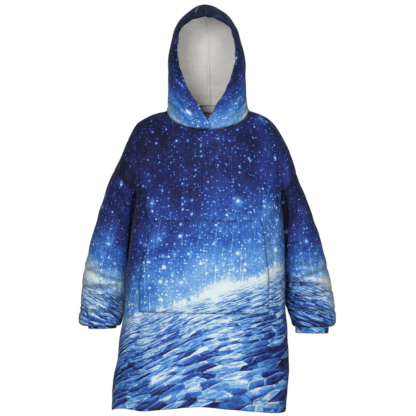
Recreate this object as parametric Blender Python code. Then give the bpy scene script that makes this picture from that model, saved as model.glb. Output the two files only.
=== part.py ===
"""Oversized pullover hoodie, worn and empty: every cut piece is a thin wall of fleece.

Metres, +Z up, the front faces -Y. The origin is at the neck on the shoulder line, where the
shoulders carry the cloth. Left and right are the wearer's, so left is +X.
"""
import math
from collections import namedtuple

import bpy
from mathutils import Vector

# Cloth
WALL = 0.0025
SEAM_GAP = 0.0003
TAPE_WALL = 0.001

# Where the parts of the form meet
ARMPIT_Z = -0.232
ARMHOLE_Y = 0.008
ARMHOLE_DEPTH = 0.084
NECK_X = 0.005
NECK_HALF = 0.123
SIDE_ROUNDING = 0.65
ARM_FADE = 2.2

# Grid sizes, in cells
SHOULDER_CELLS = 6
ARMHOLE_CELLS = 7
LOWER_CELLS = 13
SLEEVE_RINGS = ((0, 8, 1), (8, 14, 3), (14, 18, 2))
POCKET_COLUMNS = 14
POCKET_ROWS = 7
CUFF_ROWS = 3

# The body below the armpits: side edges, and how far front and back stand from the side seams
Torso = namedtuple("Torso", "z right left seam_y front back")
TORSO = (
    Torso(-0.900, -0.2776, 0.2330, -0.006, 0.166, 0.158),
    Torso(-0.853, -0.2770, 0.2370, -0.006, 0.166, 0.158),
    Torso(-0.793, -0.2730, 0.2420, -0.006, 0.164, 0.157),
    Torso(-0.735, -0.2626, 0.2440, -0.006, 0.162, 0.156),
    Torso(-0.673, -0.2552, 0.2420, -0.006, 0.160, 0.155),
    Torso(-0.572, -0.2399, 0.2345, -0.005, 0.158, 0.153),
    Torso(-0.487, -0.2340, 0.2337, -0.003, 0.157, 0.150),
    Torso(-0.400, -0.2255, 0.2310, 0.000, 0.156, 0.147),
    Torso(-0.319, -0.2145, 0.2269, 0.004, 0.155, 0.143),
    Torso(-0.262, -0.2052, 0.2222, 0.007, 0.155, 0.140),
    Torso(ARMPIT_Z, -0.2036, 0.2198, ARMHOLE_Y, 0.155, 0.139),
)

# The hem, by the direction it faces: -1 is the right side seam, 0 the middle, 1 the left
Hem = namedtuple("Hem", "turn front back")
HEM = (
    Hem(-1.00, -0.881, -0.881),
    Hem(-0.69, -0.871, -0.880),
    Hem(-0.47, -0.877, -0.877),
    Hem(-0.22, -0.870, -0.876),
    Hem(0.00, -0.863, -0.875),
    Hem(0.22, -0.871, -0.876),
    Hem(0.50, -0.880, -0.878),
    Hem(0.73, -0.885, -0.881),
    Hem(1.00, -0.882, -0.882),
)

# Soft upright folds that open towards the hem: a trough is a negative height, as a share of depth
Fold = namedtuple("Fold", "side turn top height width")
FOLDS = (
    Fold("front", -0.58, -0.580, -0.040, 0.12),
    Fold("front", -0.20, -0.640, -0.024, 0.11),
    Fold("front", 0.00, -0.300, -0.008, 0.06),
    Fold("front", 0.27, -0.660, -0.028, 0.12),
    Fold("front", 0.63, -0.600, -0.038, 0.12),
    Fold("back", -0.55, -0.520, -0.042, 0.13),
    Fold("back", -0.12, -0.600, -0.034, 0.12),
    Fold("back", 0.33, -0.480, -0.040, 0.13),
    Fold("back", 0.68, -0.640, -0.030, 0.11),
)

# The shoulder seams, from the top of the armhole to the neck
Shoulder = namedtuple("Shoulder", "along right_x right_z left_x left_z y")
SHOULDERS = (
    Shoulder(0.00, -0.2714, -0.1764, 0.2664, -0.1844, ARMHOLE_Y),
    Shoulder(0.18, -0.2525, -0.1370, 0.2570, -0.1460, 0.008),
    Shoulder(0.37, -0.2330, -0.0950, 0.2370, -0.0974, 0.007),
    Shoulder(0.60, -0.2075, -0.0430, 0.2085, -0.0470, 0.005),
    Shoulder(0.72, -0.1880, -0.0255, 0.1905, -0.0280, 0.003),
    Shoulder(0.85, -0.1570, -0.0095, 0.1615, -0.0110, 0.001),
    Shoulder(1.00, NECK_X - NECK_HALF, 0.0, NECK_X + NECK_HALF, 0.0, 0.000),
)

# What differs between the front and the back panel
Side = namedtuple("Side", "name sign neck_y neck_z neck_cells rise neck_rise")
FRONT = Side("front", -1, 0.104, -0.056, 6, 2.2, 0.80)
BACK = Side("back", 1, 0.075, 0.018, 7, 2.4, 0.80)

# Each sleeve as slices from the armhole to the cuff seam, outer edge to inner edge
Slice = namedtuple("Slice", "outer_x outer_z inner_x inner_z y depth")
SLEEVE_RIGHT = (
    Slice(-0.2714, -0.1764, -0.2036, ARMPIT_Z, ARMHOLE_Y, ARMHOLE_DEPTH),
    Slice(-0.2832, -0.1991, -0.2055, -0.2522, 0.020, 0.084),
    Slice(-0.2935, -0.2272, -0.2075, -0.2773, 0.034, 0.083),
    Slice(-0.3039, -0.2611, -0.2100, -0.3039, 0.045, 0.082),
    Slice(-0.3167, -0.2965, -0.2140, -0.3334, 0.053, 0.081),
    Slice(-0.3270, -0.3334, -0.2187, -0.3643, 0.058, 0.080),
    Slice(-0.3373, -0.3688, -0.2228, -0.3953, 0.061, 0.079),
    Slice(-0.3477, -0.4071, -0.2262, -0.4278, 0.062, 0.078),
    Slice(-0.3559, -0.4410, -0.2290, -0.4602, 0.062, 0.077),
    Slice(-0.3624, -0.4720, -0.2315, -0.4897, 0.062, 0.076),
    Slice(-0.3668, -0.5045, -0.2340, -0.5163, 0.061, 0.075),
    Slice(-0.3689, -0.5369, -0.2365, -0.5428, 0.059, 0.075),
    Slice(-0.3704, -0.5664, -0.2392, -0.5694, 0.056, 0.075),
    Slice(-0.3748, -0.5930, -0.2425, -0.5930, 0.053, 0.076),
    Slice(-0.3770, -0.6166, -0.2462, -0.6136, 0.050, 0.078),
    Slice(-0.3738, -0.6292, -0.2495, -0.6266, 0.048, 0.075),
    Slice(-0.3614, -0.6357, -0.2555, -0.6343, 0.047, 0.066),
    Slice(-0.3510, -0.6313, -0.2605, -0.6298, 0.047, 0.058),
    Slice(-0.3499, -0.6210, -0.2616, -0.6195, 0.047, 0.056),
)
SLEEVE_LEFT = (
    Slice(0.2664, -0.1844, 0.2198, ARMPIT_Z, ARMHOLE_Y, ARMHOLE_DEPTH),
    Slice(0.2761, -0.2080, 0.2225, -0.2537, 0.020, 0.084),
    Slice(0.2882, -0.2345, 0.2240, -0.2803, 0.034, 0.083),
    Slice(0.3015, -0.2670, 0.2252, -0.3098, 0.045, 0.082),
    Slice(0.3133, -0.2994, 0.2262, -0.3393, 0.053, 0.081),
    Slice(0.3251, -0.3334, 0.2275, -0.3688, 0.058, 0.080),
    Slice(0.3369, -0.3688, 0.2290, -0.3983, 0.061, 0.079),
    Slice(0.3472, -0.4056, 0.2302, -0.4278, 0.062, 0.078),
    Slice(0.3560, -0.4396, 0.2310, -0.4602, 0.062, 0.077),
    Slice(0.3634, -0.4720, 0.2313, -0.4897, 0.062, 0.076),
    Slice(0.3702, -0.5045, 0.2315, -0.5192, 0.061, 0.075),
    Slice(0.3758, -0.5369, 0.2325, -0.5458, 0.059, 0.075),
    Slice(0.3811, -0.5664, 0.2355, -0.5708, 0.056, 0.075),
    Slice(0.3835, -0.5930, 0.2419, -0.5930, 0.053, 0.076),
    Slice(0.3853, -0.6195, 0.2516, -0.6166, 0.050, 0.078),
    Slice(0.3821, -0.6313, 0.2545, -0.6292, 0.048, 0.075),
    Slice(0.3705, -0.6372, 0.2595, -0.6357, 0.047, 0.067),
    Slice(0.3656, -0.6328, 0.2638, -0.6313, 0.047, 0.061),
    Slice(0.3637, -0.6210, 0.2662, -0.6195, 0.047, 0.058),
)

# The lower edge of each cuff band, as one more slice
CUFF_END_RIGHT = Slice(-0.3496, -0.6430, -0.2646, -0.6412, 0.045, 0.054)
CUFF_END_LEFT = Slice(0.3640, -0.6561, 0.2636, -0.6549, 0.046, 0.056)

# Creases where the sleeve cloth stacks up, by slice number; a crease with a lean runs slanting
Crease = namedtuple("Crease", "at depth width lean")
SLEEVE_CREASES = (
    Crease(5.2, 0.030, 0.45, 0.5),
    Crease(8.1, 0.045, 0.35, -0.4),
    Crease(9.3, 0.060, 0.26, 0.3),
    Crease(10.4, 0.070, 0.24, -0.2),
    Crease(11.5, 0.060, 0.25, 0.3),
    Crease(12.5, 0.080, 0.24, -0.1),
)

# The hood above its neckline, as ribs from its front edge round the side to the middle back
Rib = namedtuple("Rib", "edge_x edge_y edge_z side_x side_y side_z seam_y seam_z")
HOOD = (
    Rib(-0.0070, 0.106, -0.042, 0.1195, 0.002, 0.005, 0.079, 0.026),
    Rib(0.0000, 0.108, -0.027, 0.1175, 0.004, 0.012, 0.084, 0.034),
    Rib(0.0130, 0.108, -0.010, 0.1165, 0.005, 0.020, 0.092, 0.046),
    Rib(0.0270, 0.106, 0.016, 0.1155, 0.006, 0.034, 0.104, 0.064),
    Rib(0.0500, 0.102, 0.048, 0.1150, 0.008, 0.056, 0.120, 0.088),
    Rib(0.0660, 0.097, 0.082, 0.1150, 0.009, 0.084, 0.136, 0.114),
    Rib(0.0790, 0.092, 0.117, 0.1150, 0.010, 0.114, 0.147, 0.140),
    Rib(0.0865, 0.089, 0.148, 0.1152, 0.010, 0.143, 0.152, 0.164),
    Rib(0.0875, 0.086, 0.180, 0.1110, 0.010, 0.175, 0.152, 0.188),
    Rib(0.0840, 0.085, 0.208, 0.1025, 0.010, 0.206, 0.148, 0.212),
    Rib(0.0765, 0.084, 0.236, 0.0935, 0.008, 0.238, 0.138, 0.238),
    Rib(0.0620, 0.084, 0.254, 0.0840, 0.008, 0.257, 0.126, 0.260),
    Rib(0.0440, 0.084, 0.265, 0.0745, 0.006, 0.271, 0.112, 0.278),
    Rib(0.0220, 0.083, 0.273, 0.0620, 0.005, 0.284, 0.094, 0.292),
    Rib(0.0000, 0.080, 0.278, 0.0490, 0.003, 0.294, 0.072, 0.302),
    Rib(0.0000, 0.064, 0.290, 0.0340, 0.001, 0.304, 0.048, 0.309),
    Rib(0.0000, 0.042, 0.301, 0.0190, -0.002, 0.311, 0.025, 0.314),
    Rib(0.0000, 0.014, 0.313, 0.0000, -0.004, 0.316, 0.010, 0.316),
)
HOOD_CLOSED_FROM = 15
HOOD_LEAN = -0.002

# The crossing of the hood's front corners at the throat: how far past the middle they reach
CROSSING_TURN = math.radians(6.5)
CROSSING_INSET = 0.0046
CROSSING_RISE = 0.0010
CROSSING_SHARE = 0.30
CROSSING_FADE = (1.0, 1.0, 1.0, 0.5, 0.15)

# The kangaroo pocket's side edges, and its lower seam at both ends
PocketEdge = namedtuple("PocketEdge", "z right left")
POCKET = (
    PocketEdge(-0.322, -0.1490, 0.1610),
    PocketEdge(-0.407, -0.1720, 0.1684),
    PocketEdge(-0.483, -0.1877, 0.1787),
    PocketEdge(-0.513, -0.1940, 0.1812),
    PocketEdge(-0.589, -0.1945, 0.1830),
)
POCKET_DROP_LEFT = 0.008
POCKET_LIFT = 0.0009
POCKET_GAPE = 0.0030

# The tape inside the back neck
TAPE_HEIGHT = 0.020
TAPE_LIFT = 0.0006

# Shading and turning
QUARTER = math.pi / 2
SHARP_ANGLE = math.radians(40)

# Colours and finish
PRINT_BLUE = (0.045, 0.100, 0.330)
SHADE_BLUE = (0.030, 0.060, 0.220)
REVERSE_GREY = (0.560, 0.550, 0.520)


def mix(start, end, share):
    return start + (end - start) * share


def read_table(rows, at, key, name):
    """One column of a table at any place between its rows, on a smooth curve through them."""
    places = [getattr(row, key) for row in rows] if key else list(range(len(rows)))
    values = [getattr(row, name) for row in rows]
    last = len(rows) - 1
    index = max(i for i in range(last) if i == 0 or places[i] <= at)
    span = places[index + 1] - places[index]
    share = min(max((at - places[index]) / span, 0.0), 1.0)

    def slope(i):
        low, high = max(i - 1, 0), min(i + 1, last)
        return (values[high] - values[low]) / (places[high] - places[low]) * span

    start, end = values[index], values[index + 1]
    rise, fall = slope(index), slope(index + 1)
    square, cube = share ** 2, share ** 3
    return (start * (2 * cube - 3 * square + 1) + rise * (cube - 2 * square + share)
            + end * (3 * square - 2 * cube) + fall * (cube - square))


def neck_share(side):
    """How much of a panel's width, at each end, lies under the shoulder seam."""
    return SHOULDER_CELLS / (2 * (SHOULDER_CELLS + side.neck_cells))


def fold_height(side, across, z):
    """How far the upright folds move the cloth in or out, as a share of the body's depth."""
    total = 0.0
    for fold in FOLDS:
        if fold.side == side.name and z < fold.top:
            drop = min((fold.top - z) / (fold.top - TORSO[0].z), 1.0)
            apart = (2 * across - 1 - fold.turn) / fold.width
            total += fold.height * drop ** 1.5 * math.exp(-apart ** 2)
    return total * max(math.cos(math.pi * (across - 0.5)), 0.0) ** 0.5


def torso_point(side, across, z):
    """A point on the body below the armpits; across runs from 0 at the right seam to 1."""
    turn = math.pi * (across - 0.5)
    swell = 1 + fold_height(side, across, z)
    right = read_table(TORSO, z, "z", "right")
    left = read_table(TORSO, z, "z", "left")
    seam_y = read_table(TORSO, z, "z", "seam_y")
    depth = read_table(TORSO, z, "z", side.name)
    x = (right + left) / 2 + (left - right) / 2 * math.sin(turn) * swell
    y = seam_y + side.sign * depth * max(math.cos(turn), 0.0) ** SIDE_ROUNDING * swell
    return Vector((x, y, z))


def shoulder_point(along, hand):
    x = read_table(SHOULDERS, along, "along", hand + "_x")
    z = read_table(SHOULDERS, along, "along", hand + "_z")
    return Vector((x, read_table(SHOULDERS, along, "along", "y"), z))


def neckline_point(side, turn):
    """The neckline is half a tilted ellipse on each side; turn is 0 in the middle."""
    forward = math.cos(turn)
    x = NECK_X + NECK_HALF * math.sin(turn)
    return Vector((x, side.sign * side.neck_y * forward, side.neck_z * forward))


def top_point(side, across):
    """The upper border of a panel: shoulder seam, neckline, shoulder seam."""
    share = neck_share(side)
    if across <= share:
        return shoulder_point(across / share, "right"), 0.0
    if across >= 1 - share:
        return shoulder_point((1 - across) / share, "left"), 0.0
    turn = math.pi * ((across - share) / (1 - 2 * share) - 0.5)
    return neckline_point(side, turn), math.cos(turn)


def panel_point(side, across, up):
    """A point on the front or back: up runs 0 to 1 from hem to armpit, and 1 to 2 above."""
    if up <= 1.0:
        hem = read_table(HEM, 2 * across - 1, "turn", side.name)
        return torso_point(side, across, mix(hem, ARMPIT_Z, up))
    rise = (1 - math.cos(math.pi * (up - 1))) / 2
    chest = torso_point(side, across, ARMPIT_Z)
    top, open_share = top_point(side, across)
    base = mix(ARMHOLE_Y, 0.0 if open_share else top.y, rise ** 2)
    chest_depth = abs(chest.y - ARMHOLE_Y)
    top_depth = side.neck_y * open_share
    flatness = mix(0.5, side.neck_rise, open_share)
    keep = max(1 - rise ** side.rise, 0.0) ** flatness
    edge = min(across, 1 - across) / neck_share(side)
    arm = ARMHOLE_DEPTH * max(1 - edge, 0.0) ** ARM_FADE
    depth = mix(top_depth, chest_depth, keep) + arm * 2 * math.sqrt(max(rise * (1 - rise), 0.0))
    point = chest.lerp(top, rise)
    point.y = base + side.sign * depth
    return point


def panel_grid(side):
    columns = 2 * (SHOULDER_CELLS + side.neck_cells)
    ups = [row / LOWER_CELLS for row in range(LOWER_CELLS)]
    ups += [1 + row / ARMHOLE_CELLS for row in range(ARMHOLE_CELLS + 1)]
    return [[panel_point(side, column / columns, up) for column in range(columns + 1)]
            for up in ups]


def crease_shape(place, turn):
    """How much a sleeve ring draws in where its cloth is creased."""
    total = 0.0
    for crease in SLEEVE_CREASES:
        centre = crease.at + crease.lean * math.cos(turn)
        total += crease.depth * math.exp(-((place - centre) / crease.width) ** 2)
    return total


def slice_point(cut, turn, scale=1.0):
    """A point round a slice; turn is 0 at the inner edge and passes over the front."""
    outer = Vector((cut.outer_x, cut.y, cut.outer_z))
    inner = Vector((cut.inner_x, cut.y, cut.inner_z))
    middle = (outer + inner) / 2
    point = middle + (inner - outer) / 2 * math.cos(turn) * scale
    point.y -= cut.depth * math.sin(turn) * scale
    return point


def sleeve_slice(rows, place):
    return Slice(*(read_table(rows, place, None, name) for name in Slice._fields))


def sleeve_grid(rows):
    """Rings from the armhole down; they are closer together where the cloth is creased."""
    places = []
    for first, last, rings in SLEEVE_RINGS:
        places += [first + step / rings for step in range((last - first) * rings)]
    places.append(float(SLEEVE_RINGS[-1][1]))
    turns = [math.pi * step / ARMHOLE_CELLS for step in range(2 * ARMHOLE_CELLS)]
    grid = []
    for place in places:
        cut = sleeve_slice(rows, place)
        grid.append([slice_point(cut, turn, 1 - crease_shape(place, turn)) for turn in turns])
    return grid


def cuff_grid(rows, end):
    """A cuff starts inside the sleeve's roll, a gap inside the turned-up sleeve end."""
    top = rows[-1]
    shrink = 1 - 2 * SEAM_GAP / top.depth
    turns = [math.pi * step / ARMHOLE_CELLS for step in range(2 * ARMHOLE_CELLS)]
    grid = []
    for row in range(CUFF_ROWS + 1):
        share = row / CUFF_ROWS
        cut = Slice(*(mix(a, b, share) for a, b in zip(top, end)))
        grid.append([slice_point(cut, turn, shrink) for turn in turns])
    return grid


def hood_front_shares():
    """Where the front half of a rib has its points, as shares from its edge to its side."""
    turns = [QUARTER * cell / FRONT.neck_cells for cell in range(FRONT.neck_cells + 1)]
    return [0.0] + [(turn + CROSSING_TURN) / (QUARTER + CROSSING_TURN) for turn in turns]


def hood_neckline(hand):
    """The hood's lower border: the two necklines, and the corner that crosses the middle."""
    turns = [QUARTER * cell / FRONT.neck_cells for cell in range(FRONT.neck_cells + 1)]
    line = [neckline_point(FRONT, hand * turn) for turn in [-CROSSING_TURN] + turns]
    line[0].z += CROSSING_RISE
    turns = [QUARTER * (1 - cell / BACK.neck_cells) for cell in range(1, BACK.neck_cells + 1)]
    return line + [neckline_point(BACK, hand * turn) for turn in turns]


def hood_turns(rib):
    """Directions round a rib, from its front edge at the brow to the middle back."""
    start = math.asin(rib.edge_x / rib.side_x) if rib.side_x else 0.0
    turns = [mix(start, QUARTER, share) for share in hood_front_shares()]
    turns += [QUARTER * (1 + cell / BACK.neck_cells) for cell in range(1, BACK.neck_cells + 1)]
    return turns


def hood_point(rib, turn, first, hand):
    """A point on a rib; y is a share of the edge's own depth in front and the seam's behind."""
    forward = math.cos(turn)
    lean = mix(NECK_X, HOOD_LEAN, max(rib.side_z, 0.0) / HOOD[-1].side_z)
    x = lean + hand * rib.side_x * math.sin(turn)
    if forward >= 0:
        share = forward / math.cos(first) if math.cos(first) > 0 else 1.0
        y = mix(-rib.side_y, -rib.edge_y, share)
        z = mix(rib.side_z, rib.edge_z, share)
    else:
        y = mix(-rib.side_y, rib.seam_y, -forward)
        z = mix(rib.side_z, rib.seam_z, -forward)
    return Vector((x, y, z))


def hood_grid(hand):
    """One hood half; the left one (hand 1) passes under the right one at the throat."""
    grid = [hood_neckline(hand)]
    for rib in HOOD:
        turns = hood_turns(rib)
        grid.append([hood_point(rib, turn, turns[0], hand) for turn in turns])
    if hand > 0:
        for number, (line, fade) in enumerate(zip(grid, CROSSING_FADE)):
            for point, share in zip(line, hood_front_shares()):
                inset = CROSSING_INSET * fade * max(1 - share / CROSSING_SHARE, 0.0)
                point.y += inset
                point.z += 0.0 if number else inset / 2
    return grid


def pocket_point(across, down):
    """A place on the pocket as a place on the front panel: its own across and up."""
    z = mix(POCKET[0].z, POCKET[-1].z, down)
    x = mix(read_table(POCKET[::-1], z, "z", "right"), read_table(POCKET[::-1], z, "z", "left"),
            across)
    z -= POCKET_DROP_LEFT * across * down
    right = read_table(TORSO, z, "z", "right")
    left = read_table(TORSO, z, "z", "left")
    sine = (x - (right + left) / 2) / ((left - right) / 2)
    panel_across = math.asin(sine) / math.pi + 0.5
    hem = read_table(HEM, 2 * panel_across - 1, "turn", FRONT.name)
    return panel_across, (z - hem) / (ARMPIT_Z - hem)


def front_normal(across, up, step=0.004):
    """Outward direction of the front panel's surface."""
    sideways = panel_point(FRONT, across + step, up) - panel_point(FRONT, across - step, up)
    upwards = panel_point(FRONT, across, up + step) - panel_point(FRONT, across, up - step)
    return sideways.cross(upwards).normalized()


def pocket_grids():
    """The pocket's outer and inner faces: points of the front panel, moved out."""
    outer, inner = [], []
    for row in range(POCKET_ROWS + 1):
        down = 1 - row / POCKET_ROWS
        outer.append([])
        inner.append([])
        for column in range(POCKET_COLUMNS + 1):
            across = column / POCKET_COLUMNS
            place = pocket_point(across, down)
            point = panel_point(FRONT, *place)
            normal = front_normal(*place)
            slack = POCKET_GAPE * math.sin(math.pi * down) * abs(2 * across - 1) ** 4
            inner[-1].append(point + normal * (POCKET_LIFT + slack))
            outer[-1].append(point + normal * (POCKET_LIFT + slack + WALL))
    return outer, inner


def tape_grids():
    """The tape's two faces, inside the back panel's wall below the neck seam."""
    outer, inner = [], []
    for drop in (TAPE_HEIGHT, SEAM_GAP):
        outer.append([])
        inner.append([])
        for cell in range(1, 2 * BACK.neck_cells):
            turn = math.pi * (cell / (2 * BACK.neck_cells) - 0.5)
            point = neckline_point(BACK, turn)
            inward = Vector((-math.sin(turn) * BACK.neck_y, -math.cos(turn) * NECK_HALF, 0))
            inward.normalize()
            lift = WALL + TAPE_LIFT
            point.z -= drop
            outer[-1].append(point + inward * lift)
            inner[-1].append(point + inward * (lift + TAPE_WALL))
    return outer, inner


def cell_corners(grid, tube):
    """The four corners of every cell, as (row, column) places."""
    columns = len(grid[0])
    wide = columns if tube else columns - 1
    for row in range(len(grid) - 1):
        for column in range(wide):
            after = (column + 1) % columns
            yield (row, column), (row, after), (row + 1, after), (row + 1, column)


def point_key(point):
    return tuple(round(value * 100000) for value in point)


def add_normals(totals, grid, tube):
    """Gathers each point's normal over all the pieces that meet there."""
    for corners in cell_corners(grid, tube):
        a, b, c, d = (grid[row][column] for row, column in corners)
        normal = (c - a).cross(d - b)
        for corner in (a, b, c, d):
            key = point_key(corner)
            totals[key] = totals.get(key, Vector()) + normal


def part_seams(grid, sides):
    """Draws the sewn borders back by half the seam gap, along the cloth."""
    rows, columns = len(grid), len(grid[0])
    shift = SEAM_GAP / 2
    moved = [[point.copy() for point in line] for line in grid]
    for row in range(rows):
        for column in range(columns):
            near = []
            if "start" in sides and row == 0:
                near.append((row + 1, column))
            if "end" in sides and row == rows - 1:
                near.append((row - 1, column))
            if "first" in sides and column == 0:
                near.append((row, column + 1))
            if "last" in sides and column == columns - 1:
                near.append((row, column - 1))
            for other in near:
                step = grid[other[0]][other[1]] - grid[row][column]
                if step.length > shift:
                    moved[row][column] += step.normalized() * shift
    return moved


def wall_mesh(name, outer, inner, tube, sewn=None):
    """A closed wall between two matching grids, whose cells face outwards on the outer one.

    The rims twist, so both sides of a seam split theirs along the same diagonals: sewn is the
    grid before its seams were parted, whose points the neighbour has too.
    """
    sewn = sewn or outer
    rows, columns = len(outer), len(outer[0])
    points = [tuple(point) for grid in (outer, inner) for line in grid for point in line]
    half = rows * columns

    def number(place, layer):
        return place[0] * columns + place[1] + layer * half

    faces = []
    for corners in cell_corners(outer, tube):
        faces.append([number(place, 0) for place in corners])
        faces.append([number(place, 1) for place in reversed(corners)])
    rims = []
    wide = columns if tube else columns - 1
    for column in range(wide):
        after = (column + 1) % columns
        rims.append(((0, after), (0, column)))
        rims.append(((rows - 1, column), (rows - 1, after)))
    if not tube:
        for row in range(rows - 1):
            rims.append(((row, 0), (row + 1, 0)))
            rims.append(((row + 1, columns - 1), (row, columns - 1)))
    for start, end in rims:
        first, last = (point_key(sewn[row][column]) for row, column in (start, end))
        corners = [number(start, 0), number(end, 0), number(end, 1), number(start, 1)]
        if first > last:
            corners = corners[1:] + corners[:1]
        faces.append([corners[0], corners[1], corners[2]])
        faces.append([corners[0], corners[2], corners[3]])
    mesh = bpy.data.meshes.new(name)
    mesh.from_pydata(points, [], faces)
    mesh.validate()
    mesh.update()
    return mesh


def add_object(mesh, material):
    mesh.materials.append(material)
    mesh.shade_smooth()
    mesh.set_sharp_from_angle(angle=SHARP_ANGLE)
    obj = bpy.data.objects.new(mesh.name, mesh)
    bpy.context.scene.collection.objects.link(obj)
    return obj


def cloth_material(name, colour, roughness):
    material = bpy.data.materials.new(name)
    material.use_nodes = True
    shader = material.node_tree.nodes["Principled BSDF"]
    shader.inputs["Base Color"].default_value = (*colour, 1.0)
    shader.inputs["Roughness"].default_value = roughness
    shader.inputs["Metallic"].default_value = 0.0
    return material


def turned(grid):
    """The same grid with its columns the other way round, so that it faces the other way."""
    return [line[::-1] for line in grid]


def sewn_pieces():
    """Every piece of the one joined form: its grid facing out, whether a tube, its seams."""
    swapped = [[line[0]] + line[:0:-1] for line in sleeve_grid(SLEEVE_LEFT)]
    return {
        "front": (panel_grid(FRONT), False, ("first", "last", "end")),
        "back": (turned(panel_grid(BACK)), False, ("first", "last", "end")),
        "sleeve_right": (sleeve_grid(SLEEVE_RIGHT), True, ("start",)),
        "sleeve_left": (swapped, True, ("start",)),
        "hood_right": (turned(hood_grid(-1)), False, ("start", "end", "first")),
        "hood_left": (hood_grid(1), False, ("start", "end", "last")),
    }


def part_hood_front(grid, hand):
    """Above the face opening the two halves meet in front too."""
    front = -1 if hand < 0 else 0
    for line in grid[HOOD_CLOSED_FROM:]:
        line[front].x += hand * SEAM_GAP / 2


def build_sewn_form(material):
    pieces = sewn_pieces()
    totals = {}
    for grid, tube, _ in pieces.values():
        add_normals(totals, grid, tube)
    for name, (grid, tube, seams) in pieces.items():
        outer = part_seams(grid, seams)
        if name.startswith("hood"):
            part_hood_front(outer, -1 if name == "hood_right" else 1)
        inner = []
        for line, moved in zip(grid, outer):
            normals = [totals[point_key(point)].normalized() for point in line]
            inner.append([point - normal * WALL for point, normal in zip(moved, normals)])
        add_object(wall_mesh(name, outer, inner, tube, grid), material)


def build_cuff(name, rows, end, hand, material):
    outer = cuff_grid(rows, end)
    inner = []
    for line in outer:
        middle = sum(line, Vector()) / len(line)
        inner.append([point + (middle - point).normalized() * WALL for point in line])
    if hand > 0:
        outer, inner = ([[line[0]] + line[:0:-1] for line in grid] for grid in (outer, inner))
    add_object(wall_mesh(name, outer, inner, True), material)


def build_pocket(material):
    outer, inner = pocket_grids()
    add_object(wall_mesh("pocket", outer, inner, False), material)


def build_tape(material):
    outer, inner = tape_grids()
    add_object(wall_mesh("neck_tape", turned(outer), turned(inner), False), material)


def main():
    for obj in list(bpy.data.objects):
        bpy.data.objects.remove(obj, do_unlink=True)
    printed = cloth_material("printed_fleece", PRINT_BLUE, 0.85)
    pocket_print = cloth_material("pocket_fleece", SHADE_BLUE, 0.85)
    tape = cloth_material("neck_tape", REVERSE_GREY, 0.9)
    build_sewn_form(printed)
    build_cuff("cuff_right", SLEEVE_RIGHT, CUFF_END_RIGHT, -1, printed)
    build_cuff("cuff_left", SLEEVE_LEFT, CUFF_END_LEFT, 1, printed)
    build_pocket(pocket_print)
    build_tape(tape)


main()
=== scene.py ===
"""Looks of the oversized pullover hoodie: printed fleece outside, brushed reverse inside.

Metres, in the part's frame: +Z up, the front faces -Y, and left is the wearer's left, +X.
"""
import math
from collections import namedtuple

import bpy
import numpy as np
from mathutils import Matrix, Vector


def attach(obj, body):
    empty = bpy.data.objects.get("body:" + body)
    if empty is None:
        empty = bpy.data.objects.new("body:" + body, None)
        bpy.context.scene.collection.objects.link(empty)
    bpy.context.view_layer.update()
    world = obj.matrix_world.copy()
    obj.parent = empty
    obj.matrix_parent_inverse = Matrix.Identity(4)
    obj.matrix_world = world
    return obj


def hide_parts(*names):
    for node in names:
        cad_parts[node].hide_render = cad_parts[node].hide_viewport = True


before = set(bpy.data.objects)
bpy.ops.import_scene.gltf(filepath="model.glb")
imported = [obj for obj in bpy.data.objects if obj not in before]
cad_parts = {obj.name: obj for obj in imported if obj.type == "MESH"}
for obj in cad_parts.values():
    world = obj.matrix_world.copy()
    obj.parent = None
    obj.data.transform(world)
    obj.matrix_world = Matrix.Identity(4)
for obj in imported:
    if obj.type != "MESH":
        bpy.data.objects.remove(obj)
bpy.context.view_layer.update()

# Cloth
WALL = 0.0025
SEAM_GAP = 0.0003
TAPE_WALL = 0.001

# Where the parts of the form meet
ARMPIT_Z = -0.232
ARMHOLE_Y = 0.008
ARMHOLE_DEPTH = 0.084
NECK_X = 0.005
NECK_HALF = 0.123
SIDE_ROUNDING = 0.65
ARM_FADE = 2.2
QUARTER = math.pi / 2

# Grid sizes in cells: a border that two pieces share has the same count on both
FINE = 7
SHOULDER_CELLS = 6 * FINE
ARMHOLE_CELLS = 7 * FINE
LOWER_CELLS = 160
SLEEVE_CELLS = 190
CUFF_CELLS = 14
HOOD_ROW_CELLS = 6
CROSSING_CELLS = 5
POCKET_COLUMNS = 92
POCKET_ROWS = 70

# The body below the armpits: side edges, and how far front and back stand from the side seams
Torso = namedtuple("Torso", "z right left seam_y front back")
TORSO = (
    Torso(-0.900, -0.2776, 0.2330, -0.006, 0.166, 0.158),
    Torso(-0.853, -0.2770, 0.2370, -0.006, 0.166, 0.158),
    Torso(-0.793, -0.2730, 0.2420, -0.006, 0.164, 0.157),
    Torso(-0.735, -0.2626, 0.2440, -0.006, 0.162, 0.156),
    Torso(-0.673, -0.2552, 0.2420, -0.006, 0.160, 0.155),
    Torso(-0.572, -0.2399, 0.2345, -0.005, 0.158, 0.153),
    Torso(-0.487, -0.2340, 0.2337, -0.003, 0.157, 0.150),
    Torso(-0.400, -0.2255, 0.2310, 0.000, 0.156, 0.147),
    Torso(-0.319, -0.2145, 0.2269, 0.004, 0.155, 0.143),
    Torso(-0.262, -0.2052, 0.2222, 0.007, 0.155, 0.140),
    Torso(ARMPIT_Z, -0.2036, 0.2198, ARMHOLE_Y, 0.155, 0.139),
)

# The hem, by the direction it faces: -1 is the right side seam, 0 the middle, 1 the left
Hem = namedtuple("Hem", "turn front back")
HEM = (
    Hem(-1.00, -0.881, -0.881),
    Hem(-0.69, -0.871, -0.880),
    Hem(-0.47, -0.877, -0.877),
    Hem(-0.22, -0.870, -0.876),
    Hem(0.00, -0.863, -0.875),
    Hem(0.22, -0.871, -0.876),
    Hem(0.50, -0.880, -0.878),
    Hem(0.73, -0.885, -0.881),
    Hem(1.00, -0.882, -0.882),
)

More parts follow.
